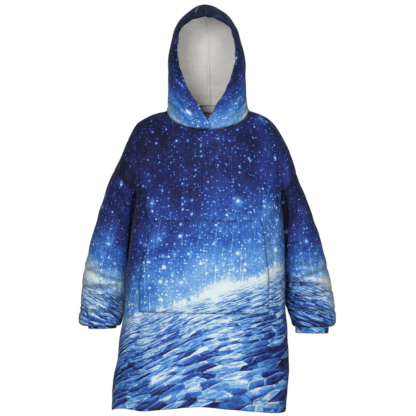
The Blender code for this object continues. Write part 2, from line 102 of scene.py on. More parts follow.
# Soft upright folds that open towards the hem: a trough is a negative height, as a share of depth
Fold = namedtuple("Fold", "side turn top height width")
FOLDS = (
    Fold("front", -0.58, -0.580, -0.040, 0.12),
    Fold("front", -0.20, -0.640, -0.024, 0.11),
    Fold("front", 0.00, -0.300, -0.008, 0.06),
    Fold("front", 0.27, -0.660, -0.028, 0.12),
    Fold("front", 0.63, -0.600, -0.038, 0.12),
    Fold("back", -0.55, -0.520, -0.042, 0.13),
    Fold("back", -0.12, -0.600, -0.034, 0.12),
    Fold("back", 0.33, -0.480, -0.040, 0.13),
    Fold("back", 0.68, -0.640, -0.030, 0.11),
)

# The shoulder seams, from the top of the armhole to the neck
Shoulder = namedtuple("Shoulder", "along right_x right_z left_x left_z y")
SHOULDERS = (
    Shoulder(0.00, -0.2714, -0.1764, 0.2664, -0.1844, ARMHOLE_Y),
    Shoulder(0.18, -0.2525, -0.1370, 0.2570, -0.1460, 0.008),
    Shoulder(0.37, -0.2330, -0.0950, 0.2370, -0.0974, 0.007),
    Shoulder(0.60, -0.2075, -0.0430, 0.2085, -0.0470, 0.005),
    Shoulder(0.72, -0.1880, -0.0255, 0.1905, -0.0280, 0.003),
    Shoulder(0.85, -0.1570, -0.0095, 0.1615, -0.0110, 0.001),
    Shoulder(1.00, NECK_X - NECK_HALF, 0.0, NECK_X + NECK_HALF, 0.0, 0.000),
)

# What differs between the front and the back panel
Side = namedtuple("Side", "name sign neck_y neck_z neck_cells rise neck_rise")
FRONT = Side("front", -1, 0.104, -0.056, 6 * FINE, 2.2, 0.80)
BACK = Side("back", 1, 0.075, 0.018, 7 * FINE, 2.4, 0.80)

# Each sleeve as slices from the armhole to the cuff seam, outer edge to inner edge
Slice = namedtuple("Slice", "outer_x outer_z inner_x inner_z y depth")
SLEEVE_RIGHT = (
    Slice(-0.2714, -0.1764, -0.2036, ARMPIT_Z, ARMHOLE_Y, ARMHOLE_DEPTH),
    Slice(-0.2832, -0.1991, -0.2055, -0.2522, 0.020, 0.084),
    Slice(-0.2935, -0.2272, -0.2075, -0.2773, 0.034, 0.083),
    Slice(-0.3039, -0.2611, -0.2100, -0.3039, 0.045, 0.082),
    Slice(-0.3167, -0.2965, -0.2140, -0.3334, 0.053, 0.081),
    Slice(-0.3270, -0.3334, -0.2187, -0.3643, 0.058, 0.080),
    Slice(-0.3373, -0.3688, -0.2228, -0.3953, 0.061, 0.079),
    Slice(-0.3477, -0.4071, -0.2262, -0.4278, 0.062, 0.078),
    Slice(-0.3559, -0.4410, -0.2290, -0.4602, 0.062, 0.077),
    Slice(-0.3624, -0.4720, -0.2315, -0.4897, 0.062, 0.076),
    Slice(-0.3668, -0.5045, -0.2340, -0.5163, 0.061, 0.075),
    Slice(-0.3689, -0.5369, -0.2365, -0.5428, 0.059, 0.075),
    Slice(-0.3704, -0.5664, -0.2392, -0.5694, 0.056, 0.075),
    Slice(-0.3748, -0.5930, -0.2425, -0.5930, 0.053, 0.076),
    Slice(-0.3770, -0.6166, -0.2462, -0.6136, 0.050, 0.078),
    Slice(-0.3738, -0.6292, -0.2495, -0.6266, 0.048, 0.075),
    Slice(-0.3614, -0.6357, -0.2555, -0.6343, 0.047, 0.066),
    Slice(-0.3510, -0.6313, -0.2605, -0.6298, 0.047, 0.058),
    Slice(-0.3499, -0.6210, -0.2616, -0.6195, 0.047, 0.056),
)
SLEEVE_LEFT = (
    Slice(0.2664, -0.1844, 0.2198, ARMPIT_Z, ARMHOLE_Y, ARMHOLE_DEPTH),
    Slice(0.2761, -0.2080, 0.2225, -0.2537, 0.020, 0.084),
    Slice(0.2882, -0.2345, 0.2240, -0.2803, 0.034, 0.083),
    Slice(0.3015, -0.2670, 0.2252, -0.3098, 0.045, 0.082),
    Slice(0.3133, -0.2994, 0.2262, -0.3393, 0.053, 0.081),
    Slice(0.3251, -0.3334, 0.2275, -0.3688, 0.058, 0.080),
    Slice(0.3369, -0.3688, 0.2290, -0.3983, 0.061, 0.079),
    Slice(0.3472, -0.4056, 0.2302, -0.4278, 0.062, 0.078),
    Slice(0.3560, -0.4396, 0.2310, -0.4602, 0.062, 0.077),
    Slice(0.3634, -0.4720, 0.2313, -0.4897, 0.062, 0.076),
    Slice(0.3702, -0.5045, 0.2315, -0.5192, 0.061, 0.075),
    Slice(0.3758, -0.5369, 0.2325, -0.5458, 0.059, 0.075),
    Slice(0.3811, -0.5664, 0.2355, -0.5708, 0.056, 0.075),
    Slice(0.3835, -0.5930, 0.2419, -0.5930, 0.053, 0.076),
    Slice(0.3853, -0.6195, 0.2516, -0.6166, 0.050, 0.078),
    Slice(0.3821, -0.6313, 0.2545, -0.6292, 0.048, 0.075),
    Slice(0.3705, -0.6372, 0.2595, -0.6357, 0.047, 0.067),
    Slice(0.3656, -0.6328, 0.2638, -0.6313, 0.047, 0.061),
    Slice(0.3637, -0.6210, 0.2662, -0.6195, 0.047, 0.058),
)

# The lower edge of each cuff band, as one more slice
CUFF_END_RIGHT = Slice(-0.3496, -0.6430, -0.2646, -0.6412, 0.045, 0.054)
CUFF_END_LEFT = Slice(0.3640, -0.6561, 0.2636, -0.6549, 0.046, 0.056)

# The hood above its neckline, as ribs from its front edge round the side to the middle back
Rib = namedtuple("Rib", "edge_x edge_y edge_z side_x side_y side_z seam_y seam_z")
HOOD = (
    Rib(-0.0070, 0.106, -0.042, 0.1195, 0.002, 0.005, 0.079, 0.026),
    Rib(0.0000, 0.108, -0.027, 0.1175, 0.004, 0.012, 0.084, 0.034),
    Rib(0.0130, 0.108, -0.010, 0.1165, 0.005, 0.020, 0.092, 0.046),
    Rib(0.0270, 0.106, 0.016, 0.1155, 0.006, 0.034, 0.104, 0.064),
    Rib(0.0500, 0.102, 0.048, 0.1150, 0.008, 0.056, 0.120, 0.088),
    Rib(0.0660, 0.097, 0.082, 0.1150, 0.009, 0.084, 0.136, 0.114),
    Rib(0.0790, 0.092, 0.117, 0.1150, 0.010, 0.114, 0.147, 0.140),
    Rib(0.0865, 0.089, 0.148, 0.1152, 0.010, 0.143, 0.152, 0.164),
    Rib(0.0875, 0.086, 0.180, 0.1110, 0.010, 0.175, 0.152, 0.188),
    Rib(0.0840, 0.085, 0.208, 0.1025, 0.010, 0.206, 0.148, 0.212),
    Rib(0.0765, 0.084, 0.236, 0.0935, 0.008, 0.238, 0.138, 0.238),
    Rib(0.0620, 0.084, 0.254, 0.0840, 0.008, 0.257, 0.126, 0.260),
    Rib(0.0440, 0.084, 0.265, 0.0745, 0.006, 0.271, 0.112, 0.278),
    Rib(0.0220, 0.083, 0.273, 0.0620, 0.005, 0.284, 0.094, 0.292),
    Rib(0.0000, 0.080, 0.278, 0.0490, 0.003, 0.294, 0.072, 0.302),
    Rib(0.0000, 0.064, 0.290, 0.0340, 0.001, 0.304, 0.048, 0.309),
    Rib(0.0000, 0.042, 0.301, 0.0190, -0.002, 0.311, 0.025, 0.314),
    Rib(0.0000, 0.014, 0.313, 0.0000, -0.004, 0.316, 0.010, 0.316),
)

# The rib from which the hood is closed in front, and where the middle of its top lies
HOOD_CLOSED_FROM = 15
HOOD_LEAN = -0.002

# The crossing of the hood's front corners at the throat: how far past the middle they reach
CROSSING_TURN = math.radians(6.5)
CROSSING_INSET = 0.0046
CROSSING_RISE = 0.0010
CROSSING_SHARE = 0.30
TUCKED_UNDER = 0.9
CROSSING_FADE = (1.0, 1.0, 1.0, 0.5, 0.15, 0.0)

# The kangaroo pocket's side edges, and its lower seam at both ends
PocketEdge = namedtuple("PocketEdge", "z right left")
POCKET = (
    PocketEdge(-0.589, -0.1945, 0.1830),
    PocketEdge(-0.513, -0.1940, 0.1812),
    PocketEdge(-0.483, -0.1877, 0.1787),
    PocketEdge(-0.407, -0.1720, 0.1684),
    PocketEdge(-0.322, -0.1490, 0.1610),
)

# The lower seam drops to the left; the pocket lies just off the front, and its openings gape
POCKET_DROP_LEFT = 0.008
POCKET_LIFT = 0.0009
POCKET_GAPE = 0.0055

# The tape inside the back neck
TAPE_HEIGHT = 0.020
TAPE_LIFT = 0.0006

# Creases where the sleeve cloth stacks up, by slice number; a lean makes one run slanting, and
# it is deepest where it faces peak, in turns from the inner edge over the front
SleeveCrease = namedtuple("SleeveCrease", "at depth width lean peak spread")
CREASES_RIGHT = (
    SleeveCrease(2.0, 0.030, 0.55, 0.9, 0.20, 0.8),
    SleeveCrease(3.6, 0.022, 0.50, 0.7, 0.10, 0.7),
    SleeveCrease(5.2, 0.034, 0.45, 0.5, 0.30, 0.4),
    SleeveCrease(6.9, 0.030, 0.40, -0.5, 0.45, 0.7),
    SleeveCrease(8.3, 0.070, 0.34, -0.5, 0.42, 0.6),
    SleeveCrease(9.2, 0.090, 0.26, 0.4, 0.12, 0.6),
    SleeveCrease(10.2, 0.110, 0.26, -0.2, 0.36, 0.4),
    SleeveCrease(11.3, 0.100, 0.24, 0.4, 0.18, 0.6),
    SleeveCrease(11.9, 0.080, 0.20, -0.4, 0.45, 0.8),
    SleeveCrease(12.8, 0.130, 0.26, -0.1, 0.28, 0.2),
)
CREASES_LEFT = (
    SleeveCrease(1.7, 0.026, 0.55, -0.8, 0.25, 0.8),
    SleeveCrease(3.3, 0.024, 0.50, 0.6, 0.35, 0.7),
    SleeveCrease(5.2, 0.034, 0.45, 0.5, 0.20, 0.4),
    SleeveCrease(6.6, 0.028, 0.40, 0.5, 0.40, 0.7),
    SleeveCrease(8.0, 0.070, 0.34, -0.4, 0.15, 0.6),
    SleeveCrease(9.1, 0.090, 0.26, 0.4, 0.40, 0.6),
    SleeveCrease(9.9, 0.100, 0.24, -0.3, 0.20, 0.5),
    SleeveCrease(11.0, 0.110, 0.26, 0.3, 0.38, 0.4),
    SleeveCrease(11.8, 0.080, 0.20, -0.4, 0.12, 0.8),
    SleeveCrease(12.7, 0.130, 0.26, -0.1, 0.25, 0.2),
)

# How far these creases are held flat, along the body and along the sleeve's outer edge, and the
# soft lip on both sides of each, as a share of its depth and in crease widths
HELD_AT_BODY = 0.85
HELD_OUTSIDE = 0.55
SLEEVE_LIP = 0.35
SLEEVE_LIP_WIDTH = 2.0

# Creases drawn on the cloth as seen from the front or the back, as (x, z) points. Depth is in metres,
# a ridge negative; start and end are its strength at its two ends
Crease = namedtuple("Crease", "pieces view points depth width start end")
BODY_FRONT = ("front", "pocket")
BACK_PANEL = ("back",)
RIGHT_SLEEVE = ("sleeve_right",)
LEFT_SLEEVE = ("sleeve_left",)
RIGHT_HOOD = ("hood_right",)
LEFT_HOOD = ("hood_left",)
BOTH_HOODS = ("hood_right", "hood_left")
CREASES = (
    # Above the armpits the cloth falls in upright folds off the shoulders
    Crease(BODY_FRONT, "front", ((-0.214, -0.120), (-0.204, -0.175), (-0.196, -0.235), (-0.200, -0.300)),
           0.0065, 0.010, 0.0, 0.2),
    Crease(BODY_FRONT, "front", ((0.206, -0.100), (0.214, -0.150), (0.215, -0.215), (0.211, -0.270)),
           0.0070, 0.010, 0.0, 0.2),
    Crease(BODY_FRONT, "front", ((-0.232, -0.150), (-0.228, -0.185), (-0.214, -0.220)),
           -0.0040, 0.011, 0.0, 0.2),
    Crease(BODY_FRONT, "front", ((0.236, -0.150), (0.236, -0.185), (0.226, -0.222)),
           -0.0040, 0.011, 0.0, 0.2),
    # Drag lines from the armpits towards the chest and down the sides
    Crease(BODY_FRONT, "front", ((-0.198, -0.236), (-0.165, -0.215), (-0.120, -0.180), (-0.085, -0.140)),
           0.0035, 0.012, 0.7, 0.0),
    Crease(BODY_FRONT, "front", ((0.212, -0.240), (0.175, -0.215), (0.130, -0.175), (0.100, -0.130)),
           0.0035, 0.012, 0.7, 0.0),
    Crease(BODY_FRONT, "front", ((-0.196, -0.250), (-0.180, -0.320), (-0.176, -0.400), (-0.190, -0.480)),
           0.0040, 0.014, 0.6, 0.0),
    Crease(BODY_FRONT, "front", ((0.214, -0.250), (0.200, -0.320), (0.196, -0.410), (0.204, -0.500)),
           0.0040, 0.014, 0.6, 0.0),
    # Pull from the pocket's corners
    Crease(BODY_FRONT, "front", ((-0.149, -0.318), (-0.120, -0.285), (-0.100, -0.240)),
           0.0022, 0.010, 0.6, 0.0),
    Crease(BODY_FRONT, "front", ((0.161, -0.318), (0.135, -0.285), (0.118, -0.235)),
           0.0022, 0.010, 0.6, 0.0),
    Crease(BODY_FRONT, "front", ((-0.190, -0.592), (-0.205, -0.660), (-0.212, -0.740)),
           0.0040, 0.014, 0.6, 0.0),
    Crease(BODY_FRONT, "front", ((0.182, -0.600), (0.200, -0.670), (0.204, -0.750)),
           0.0040, 0.014, 0.6, 0.0),
    # The soft line down the middle, left by folding
    Crease(BODY_FRONT, "front", ((0.022, -0.190), (0.020, -0.250), (0.016, -0.340), (0.012, -0.440)),
           -0.0016, 0.006, 0.2, 0.2),
    Crease(BODY_FRONT, "front", ((0.004, -0.660), (-0.001, -0.740), (-0.004, -0.850)),
           0.0030, 0.009, 0.0, 1.0),
    # Long soft falls in the skirt
    Crease(BODY_FRONT, "front", ((-0.105, -0.610), (-0.118, -0.700), (-0.128, -0.790), (-0.138, -0.876)),
           0.0050, 0.018, 0.1, 0.8),
    Crease(BODY_FRONT, "front", ((-0.060, -0.640), (-0.066, -0.760), (-0.076, -0.872)),
           0.0035, 0.015, 0.0, 0.9),
    Crease(BODY_FRONT, "front", ((0.074, -0.620), (0.080, -0.720), (0.088, -0.876)),
           0.0045, 0.017, 0.0, 0.9),
    Crease(BODY_FRONT, "front", ((0.130, -0.640), (0.142, -0.740), (0.150, -0.880)),
           0.0040, 0.015, 0.0, 0.9),
    Crease(BODY_FRONT, "front", ((-0.190, -0.700), (-0.200, -0.790), (-0.208, -0.872)),
           0.0040, 0.014, 0.0, 0.8),
    # The back, which hangs off the shoulder blades
    Crease(BACK_PANEL, "back", ((-0.206, -0.110), (-0.200, -0.175), (-0.190, -0.240), (-0.186, -0.330)),
           0.0065, 0.011, 0.0, 0.1),
    Crease(BACK_PANEL, "back", ((0.208, -0.100), (0.206, -0.170), (0.200, -0.235), (0.192, -0.320)),
           0.0065, 0.011, 0.0, 0.1),
    Crease(BACK_PANEL, "back", ((-0.194, -0.240), (-0.150, -0.205), (-0.100, -0.190)),
           0.0040, 0.013, 0.7, 0.0),
    Crease(BACK_PANEL, "back", ((0.206, -0.240), (0.160, -0.200), (0.110, -0.180)),
           0.0040, 0.013, 0.7, 0.0),
    Crease(BACK_PANEL, "back", ((-0.120, -0.400), (-0.132, -0.560), (-0.150, -0.720), (-0.160, -0.875)),
           0.0060, 0.022, 0.0, 0.8),
    Crease(BACK_PANEL, "back", ((-0.040, -0.470), (-0.042, -0.640), (-0.050, -0.876)),
           0.0045, 0.018, 0.0, 0.9),
    Crease(BACK_PANEL, "back", ((0.060, -0.420), (0.068, -0.600), (0.080, -0.750), (0.084, -0.877)),
           0.0055, 0.020, 0.0, 0.9),
    Crease(BACK_PANEL, "back", ((0.150, -0.480), (0.160, -0.640), (0.172, -0.878)),
           0.0050, 0.018, 0.0, 0.9),
    Crease(BACK_PANEL, "back", ((-0.080, -0.030), (-0.060, -0.075), (-0.020, -0.100)),
           0.0025, 0.012, 0.3, 0.0),
    Crease(BACK_PANEL, "back", ((0.092, -0.030), (0.070, -0.080), (0.026, -0.108)),
           0.0025, 0.012, 0.3, 0.0),
    # Off the shoulders of the body over the armhole seams
    Crease(RIGHT_SLEEVE, "front", ((-0.262, -0.205), (-0.262, -0.260), (-0.270, -0.330), (-0.285, -0.400)),
           0.0050, 0.013, 0.5, 0.0),
    Crease(LEFT_SLEEVE, "front", ((0.262, -0.215), (0.270, -0.270), (0.282, -0.340), (0.300, -0.410)),
           0.0050, 0.013, 0.5, 0.0),
    Crease(RIGHT_SLEEVE, "back", ((-0.256, -0.215), (-0.264, -0.290), (-0.280, -0.370)),
           0.0050, 0.014, 0.5, 0.0),
    Crease(LEFT_SLEEVE, "back", ((0.258, -0.220), (0.270, -0.290), (0.290, -0.380)),
           0.0050, 0.014, 0.5, 0.0),
    Crease(RIGHT_SLEEVE, "front", ((-0.330, -0.350), (-0.300, -0.410), (-0.262, -0.450), (-0.235, -0.470)),
           0.0045, 0.011, 0.2, 0.4),
    Crease(LEFT_SLEEVE, "front", ((0.345, -0.370), (0.315, -0.425), (0.275, -0.465), (0.240, -0.480)),
           0.0045, 0.011, 0.2, 0.4),
    # The sleeve falls away behind the body's side
    Crease(RIGHT_SLEEVE, "front", ((-0.212, -0.250), (-0.220, -0.310), (-0.226, -0.380), (-0.232, -0.450)),
           0.0120, 0.009, 0.5, 0.1),
    Crease(LEFT_SLEEVE, "front", ((0.230, -0.244), (0.237, -0.290), (0.238, -0.340), (0.235, -0.410)),
           0.0220, 0.010, 0.9, 0.1),
    # Folds that run down and in towards the throat, and round the hood's base
    Crease(RIGHT_HOOD, "front", ((-0.104, 0.060), (-0.086, 0.030), (-0.058, 0.000), (-0.030, -0.022)),
           0.0050, 0.009, 0.0, 0.4),
    Crease(RIGHT_HOOD, "front", ((-0.108, 0.020), (-0.090, 0.002), (-0.066, -0.018)),
           0.0045, 0.008, 0.5, 0.1),
    Crease(RIGHT_HOOD, "front", ((-0.090, 0.110), (-0.074, 0.060), (-0.046, 0.018)),
           -0.0035, 0.009, 0.0, 0.3),
    Crease(LEFT_HOOD, "front", ((0.112, 0.060), (0.092, 0.028), (0.066, 0.000), (0.040, -0.018)),
           0.0050, 0.009, 0.0, 0.4),
    Crease(LEFT_HOOD, "front", ((0.118, 0.026), (0.108, 0.010), (0.092, -0.010)),
           0.0050, 0.007, 0.7, 0.1),
    Crease(LEFT_HOOD, "front", ((0.094, 0.110), (0.080, 0.062), (0.056, 0.020)),
           -0.0035, 0.009, 0.0, 0.3),
    Crease(BOTH_HOODS, "back",
           ((-0.092, 0.060), (-0.050, 0.040), (0.000, 0.034), (0.050, 0.040), (0.096, 0.060)),
           0.0045, 0.012, 0.0, 0.0),
    Crease(BOTH_HOODS, "back", ((-0.104, 0.110), (-0.070, 0.078), (-0.030, 0.068)),
           0.0040, 0.013, 0.0, 0.2),
    Crease(BOTH_HOODS, "back", ((0.100, 0.120), (0.066, 0.088), (0.028, 0.076)),
           0.0040, 0.013, 0.0, 0.2),
)

# Creases deeper than this lie in their own shade
DEEP_CREASE = 0.009

# The soft lip on both sides of a crease as a share of its depth, the lip's width and the crease's
# reach in crease widths, and its strength halfway along
LIP = 0.4
LIP_WIDTH = 2.2
CREASE_REACH = 4
CREASE_MIDDLE = 2.2

# Slow shallow waves all over the cloth
UNEVEN = 0.0011

# Seams: the cloth dips at the sewing, swells beside it and puckers, and less so at a shallow seam; shade
# is painted along the sewing
SEAM_DIP = 0.0030
SEAM_DIP_WIDTH = 0.0036
SEAM_SWELL = 0.0007
SEAM_SWELL_AT = 0.0090
SHALLOW_SEAM = 0.3
SEAM_PUCKER = 0.0006
SEAM_PUCKER_REACH = 0.010
SEAM_SHADE_WIDTH = 0.0032

# Edges: the rounded rim with shade painted on it, and the doubled cloth along the hem, with shade painted
# along its stitches, and round the face
RIM_BULGE = 0.0008
RIM_SHADE = 0.8
HEM_WIDTH = 0.024
HEM_LIFT = 0.0009
HEM_LINE_SHADE = 0.5
TURNING_FALL = 0.002
STITCH_PULL_WIDTH = 0.0022
EDGE_ROUNDING = 0.0025
HOOD_HEM_WIDTH = 0.026
FACE_UNEVEN = 0.0011
FACE_UNEVEN_REACH = 0.022
FACE_FLAT_AT_NECK = 0.012

# Inside the hood: the ridge of the neck seam's allowance, and the step of the turned face edge
NECK_RIDGE_HEIGHT = 0.0026
NECK_RIDGE_WIDTH = 0.0048
NECK_RIDGE_UP = 0.006
TURNING_STEP = 0.0012
TURNING_STEP_WIDTH = 0.004

# The allowance of the seam over the head, on the inside: where it wanders to one side, by height
ALLOWANCE_SHORT = 5
ALLOWANCE_HALF = 0.0038
ALLOWANCE_HEIGHT = 0.0024
ALLOWANCE_ASIDE = 0.0045
ALLOWANCE_SUNK = 0.0003
ALLOWANCE_POINTS = 9
Bend = namedtuple("Bend", "z by reach")
ALLOWANCE_BENDS = (
    Bend(0.020, 0.0015, 0.060),
    Bend(0.220, 0.0020, 0.020),
    Bend(0.246, -0.0070, 0.012),
)

# Where body and sleeve meet: the body blouses over the armhole seam, and the sleeve tucks under it
# and rests against the body's side below the armpit
ARMHOLE_SWELL = 0.0100
ARMHOLE_SWELL_REACH = 0.045
SLEEVE_TUCK = 0.0050
SLEEVE_TUCK_REACH = 0.035
OVERHANG_RISE = 0.006
SLEEVE_PRESS = 0.0026
PRESS_STARTS = (0.0, 0.008)
PRESS_ENDS = (0.080, 0.150)

# Shade in a sleeve's stacked creases, from some slice down; and along its inner edge, by how nearly
# the cloth faces the body, fading out over some slices
STACK_SHADE = 0.50
STACK_DEPTH = 0.055
STACK_FROM = (6.0, 8.5)
AtBody = namedtuple("AtBody", "start full fade")
AT_BODY = {
    "sleeve_right": AtBody(0.80, 0.96, (4.0, 13.0)),
    "sleeve_left": AtBody(0.66, 0.90, (2.5, 6.5)),
}

# Gathers in the cuff bands
CUFF_GATHER = 0.0011
CUFF_GATHER_FROM = (0.004, 0.020)
CUFF_EDGE_ROUNDING = 0.0015

# The pocket's cloth: how it fills out, rounds off at its edges and is pulled in by its stitches, and the
# shade painted along its edges
POCKET_PUFF = 0.0016
POCKET_PUFF_REACH = 0.05
POCKET_GAPE_REACH = 0.03
POCKET_ROUNDING = 0.0014
POCKET_ROUNDING_WIDTH = 0.0030
POCKET_GROOVE = 0.0006
POCKET_GROOVE_WIDTH = 0.0016
POCKET_PUCKER_REACH = 0.012
POCKET_TURNED_IN = 0.020
POCKET_TOP_SHADE = 0.35
POCKET_EDGE_SHADE = 0.60

# Stitches
STITCH_PITCH = 0.0034
STITCH_LENGTH = 0.0026
STITCH_WIDTH = 0.0006
STITCH_ROWS_APART = 0.0055
POCKET_STITCH_INSET = 0.0060

# The picture
PHOTO_PIXELS = 416
PIXEL = 0.00295
VIEW_CENTRE_X = 0.0059
VIEW_CENTRE_Z = -0.286
CAMERA_DISTANCE = 10.0
SENSOR = 0.036

# Where each cut piece lies on the printed design, in metres: each is printed and cut by itself, so
# the design breaks at the seams. A piece counts from its middle, its face edge or its inner edge
Lay = namedtuple("Lay", "name right up scale from_middle downwards")
LAYS = (
    Lay("front", 0.000, -0.880, 1.00, True, False),
    Lay("back", -1.930, -0.860, 1.00, True, False),
    Lay("pocket", 0.030, -0.575, 1.00, True, False),
    Lay("sleeve_right", 1.740, 0.014, 1.90, False, True),
    Lay("sleeve_left", 2.600, 0.074, 1.90, False, True),
    Lay("cuff_right", 1.740, -0.860, 1.90, False, True),
    Lay("cuff_left", 2.600, -0.800, 1.90, False, True),
    Lay("hood_right", 3.680, -0.605, 1.50, False, False),
    Lay("hood_left", 4.750, -0.565, 1.50, False, False),
    Lay("neck_tape", 0.000, 0.000, 1.00, True, False),
    Lay("hood_allowance", 0.000, 0.000, 1.00, True, False),
)

Cloth = namedtuple("Cloth", "name slot flat area held")
CUTS = (
    Cloth("front", "printed_fleece", (0.70, 0.90), 0.56, "hung"),
    Cloth("back", "printed_fleece", (0.70, 0.92), 0.56, "hung"),
    Cloth("sleeve_right", "printed_fleece", (0.44, 0.56), 0.19, "gathered"),
    Cloth("sleeve_left", "printed_fleece", (0.44, 0.56), 0.19, "gathered"),
    Cloth("cuff_right", "printed_fleece", (0.25, 0.03), None, "stretched"),
    Cloth("cuff_left", "printed_fleece", (0.27, 0.04), None, "stretched"),
    Cloth("hood_right", "printed_fleece", (0.32, 0.40), 0.10, "hung"),
    Cloth("hood_left", "printed_fleece", (0.32, 0.40), 0.10, "hung"),
    Cloth("pocket", "printed_fleece", (0.40, 0.28), 0.10, "hung"),
    Cloth("neck_tape", "neck_tape", (0.27, 0.02), None, "hung"),
)


def mix(start, end, share):
    return start + (end - start) * share


def smooth(value, low, high):
    """0 below low, 1 above high, with a soft change between."""
    share = np.clip((value - low) / (high - low), 0.0, 1.0)
    return share * share * (3 - 2 * share)


def read_table(rows, at, key, name):
    """One column of a table at any places between its rows, on a smooth curve through them."""
    at = np.asarray(at, dtype=float)
    last = len(rows) - 1
    places = np.array([getattr(row, key) for row in rows]) if key else np.arange(last + 1.0)
    values = np.array([getattr(row, name) for row in rows])
    return hermite(places, values, at)


def hermite(places, values, at):
    """A smooth curve through values at their places; each slope comes from both neighbours."""
    last = len(places) - 1
    low = np.maximum(np.arange(last + 1) - 1, 0)
    high = np.minimum(np.arange(last + 1) + 1, last)
    run = places[high] - places[low]
    if values.ndim > 1:
        run = run[:, None, None]
    slopes = (values[high] - values[low]) / run
    index = np.clip(np.searchsorted(places, at, side="right") - 1, 0, last - 1)
    span = places[index + 1] - places[index]
    share = np.clip((at - places[index]) / span, 0.0, 1.0)
    if values.ndim > 1:
        share, span = share[:, None, None], span[:, None, None]
    square, cube = share ** 2, share ** 3
    return (values[index] * (2 * cube - 3 * square + 1)
            + slopes[index] * span * (cube - 2 * square + share)
            + values[index + 1] * (3 * square - 2 * cube)
            + slopes[index + 1] * span * (cube - square))


def points_of(x, y, z):
    """Coordinates as one array of points."""
    return np.stack(np.broadcast_arrays(x, y, z), axis=-1).astype(float)


# Form of the body
def neck_share(side):
    """How much of a panel's width, at each end, lies under the shoulder seam."""
    return SHOULDER_CELLS / (2 * (SHOULDER_CELLS + side.neck_cells))


def fold_height(side, across, z):
    """How far the upright folds move the cloth in or out, as a share of the body's depth."""
    total = np.zeros(np.broadcast(across, z).shape)
    for fold in FOLDS:
        if fold.side == side.name:
            drop = np.clip((fold.top - z) / (fold.top - TORSO[0].z), 0.0, 1.0)
            apart = (2 * across - 1 - fold.turn) / fold.width
            total += fold.height * drop ** 1.5 * np.exp(-apart ** 2)
    return total * np.maximum(np.cos(math.pi * (across - 0.5)), 0.0) ** 0.5


def torso_point(side, across, z):
    """Points on the body below the armpits; across runs from 0 at the right seam to 1."""
    turn = math.pi * (across - 0.5)
    swell = 1 + fold_height(side, across, z)
    right = read_table(TORSO, z, "z", "right")
    left = read_table(TORSO, z, "z", "left")
    seam_y = read_table(TORSO, z, "z", "seam_y")
    depth = read_table(TORSO, z, "z", side.name)
    x = (right + left) / 2 + (left - right) / 2 * np.sin(turn) * swell
    y = seam_y + side.sign * depth * np.maximum(np.cos(turn), 0.0) ** SIDE_ROUNDING * swell
    return points_of(x, y, z)


def neckline_point(side, turn):
    """The neckline is half a tilted ellipse on each side; turn is 0 in the middle."""
    forward = np.cos(turn)
    return points_of(NECK_X + NECK_HALF * np.sin(turn), side.sign * side.neck_y * forward,
                     side.neck_z * forward)


def top_border(side, across):
    """The upper border of a panel: shoulder seam, neckline, shoulder seam; and the neck's share."""
    share = neck_share(side)
    border = np.zeros(across.shape + (3,))
    opened = np.zeros(across.shape)
    for hand, along in (("right", across / share), ("left", (1 - across) / share)):
        x = read_table(SHOULDERS, along, "along", hand + "_x")
        y = read_table(SHOULDERS, along, "along", "y")
        z = read_table(SHOULDERS, along, "along", hand + "_z")
        border = np.where((along <= 1.0)[..., None], points_of(x, y, z), border)
    inside = (across > share + 1e-9) & (across < 1 - share - 1e-9)
    turn = math.pi * ((across - share) / (1 - 2 * share) - 0.5)
    border = np.where(inside[..., None], neckline_point(side, turn), border)
    opened = np.where(inside, np.cos(turn), opened)
    return border, opened


def upper_point(side, across, up):
    """Points between the armpit level, up 1, and the top border, up 2."""
    rise = (1 - np.cos(math.pi * (up - 1))) / 2
    chest = torso_point(side, across, np.full_like(across, ARMPIT_Z))
    top, opened = top_border(side, across)
    base = mix(ARMHOLE_Y, np.where(opened > 0, 0.0, top[..., 1]), rise ** 2)
    chest_depth = np.abs(chest[..., 1] - ARMHOLE_Y)
    flatness = mix(0.5, side.neck_rise, opened)
    keep = np.maximum(1 - rise ** side.rise, 0.0) ** flatness
    edge = np.minimum(across, 1 - across) / neck_share(side)
    arm = ARMHOLE_DEPTH * np.maximum(1 - edge, 0.0) ** ARM_FADE
    depth = mix(side.neck_y * opened, chest_depth, keep)
    depth = depth + arm * 2 * np.sqrt(np.maximum(rise * (1 - rise), 0.0))
    point = mix(chest, top, rise[..., None])
    point[..., 1] = base + side.sign * depth
    return point


def panel_point(side, across, up):
    """Points on the front or back: up runs 0 to 1 from hem to armpit, and 1 to 2 above."""
    across, up = np.broadcast_arrays(np.asarray(across, float), np.asarray(up, float))
    hem = read_table(HEM, 2 * across - 1, "turn", side.name)
    lower = torso_point(side, across, mix(hem, ARMPIT_Z, np.minimum(up, 1.0)))
    upper = upper_point(side, across, np.maximum(up, 1.0))
    return np.where((up <= 1.0)[..., None], lower, upper)


def panel_grid(side):
    """A panel's points, row by row from the hem to the shoulders."""
    columns = 2 * (SHOULDER_CELLS + side.neck_cells)
    ups = np.concatenate([np.arange(LOWER_CELLS) / LOWER_CELLS,
                          1 + np.arange(ARMHOLE_CELLS + 1) / ARMHOLE_CELLS])
    return panel_point(side, np.arange(columns + 1)[None, :] / columns, ups[:, None])


# Form of the sleeves and cuffs
def crease_shape(creases, place, turn):
    """How much a sleeve ring draws in where its cloth is creased, with a swell on both sides."""
    total = np.zeros(np.broadcast(place, turn).shape)
    for crease in creases:
        apart = (place - crease.at - crease.lean * np.cos(turn)) / crease.width
        facing = 0.5 + 0.5 * np.cos(turn - 2 * math.pi * crease.peak)
        strength = crease.depth * (1 - crease.spread * (1 - facing))
        strength = strength * (1 - HELD_AT_BODY * np.maximum(np.cos(turn), 0.0) ** 2)
        strength = strength * (1 - HELD_OUTSIDE * np.maximum(-np.cos(turn), 0.0) ** 2)
        lip = SLEEVE_LIP * np.exp(-(apart / SLEEVE_LIP_WIDTH) ** 2)
        total += strength * (np.exp(-apart ** 2) - lip)
    return total


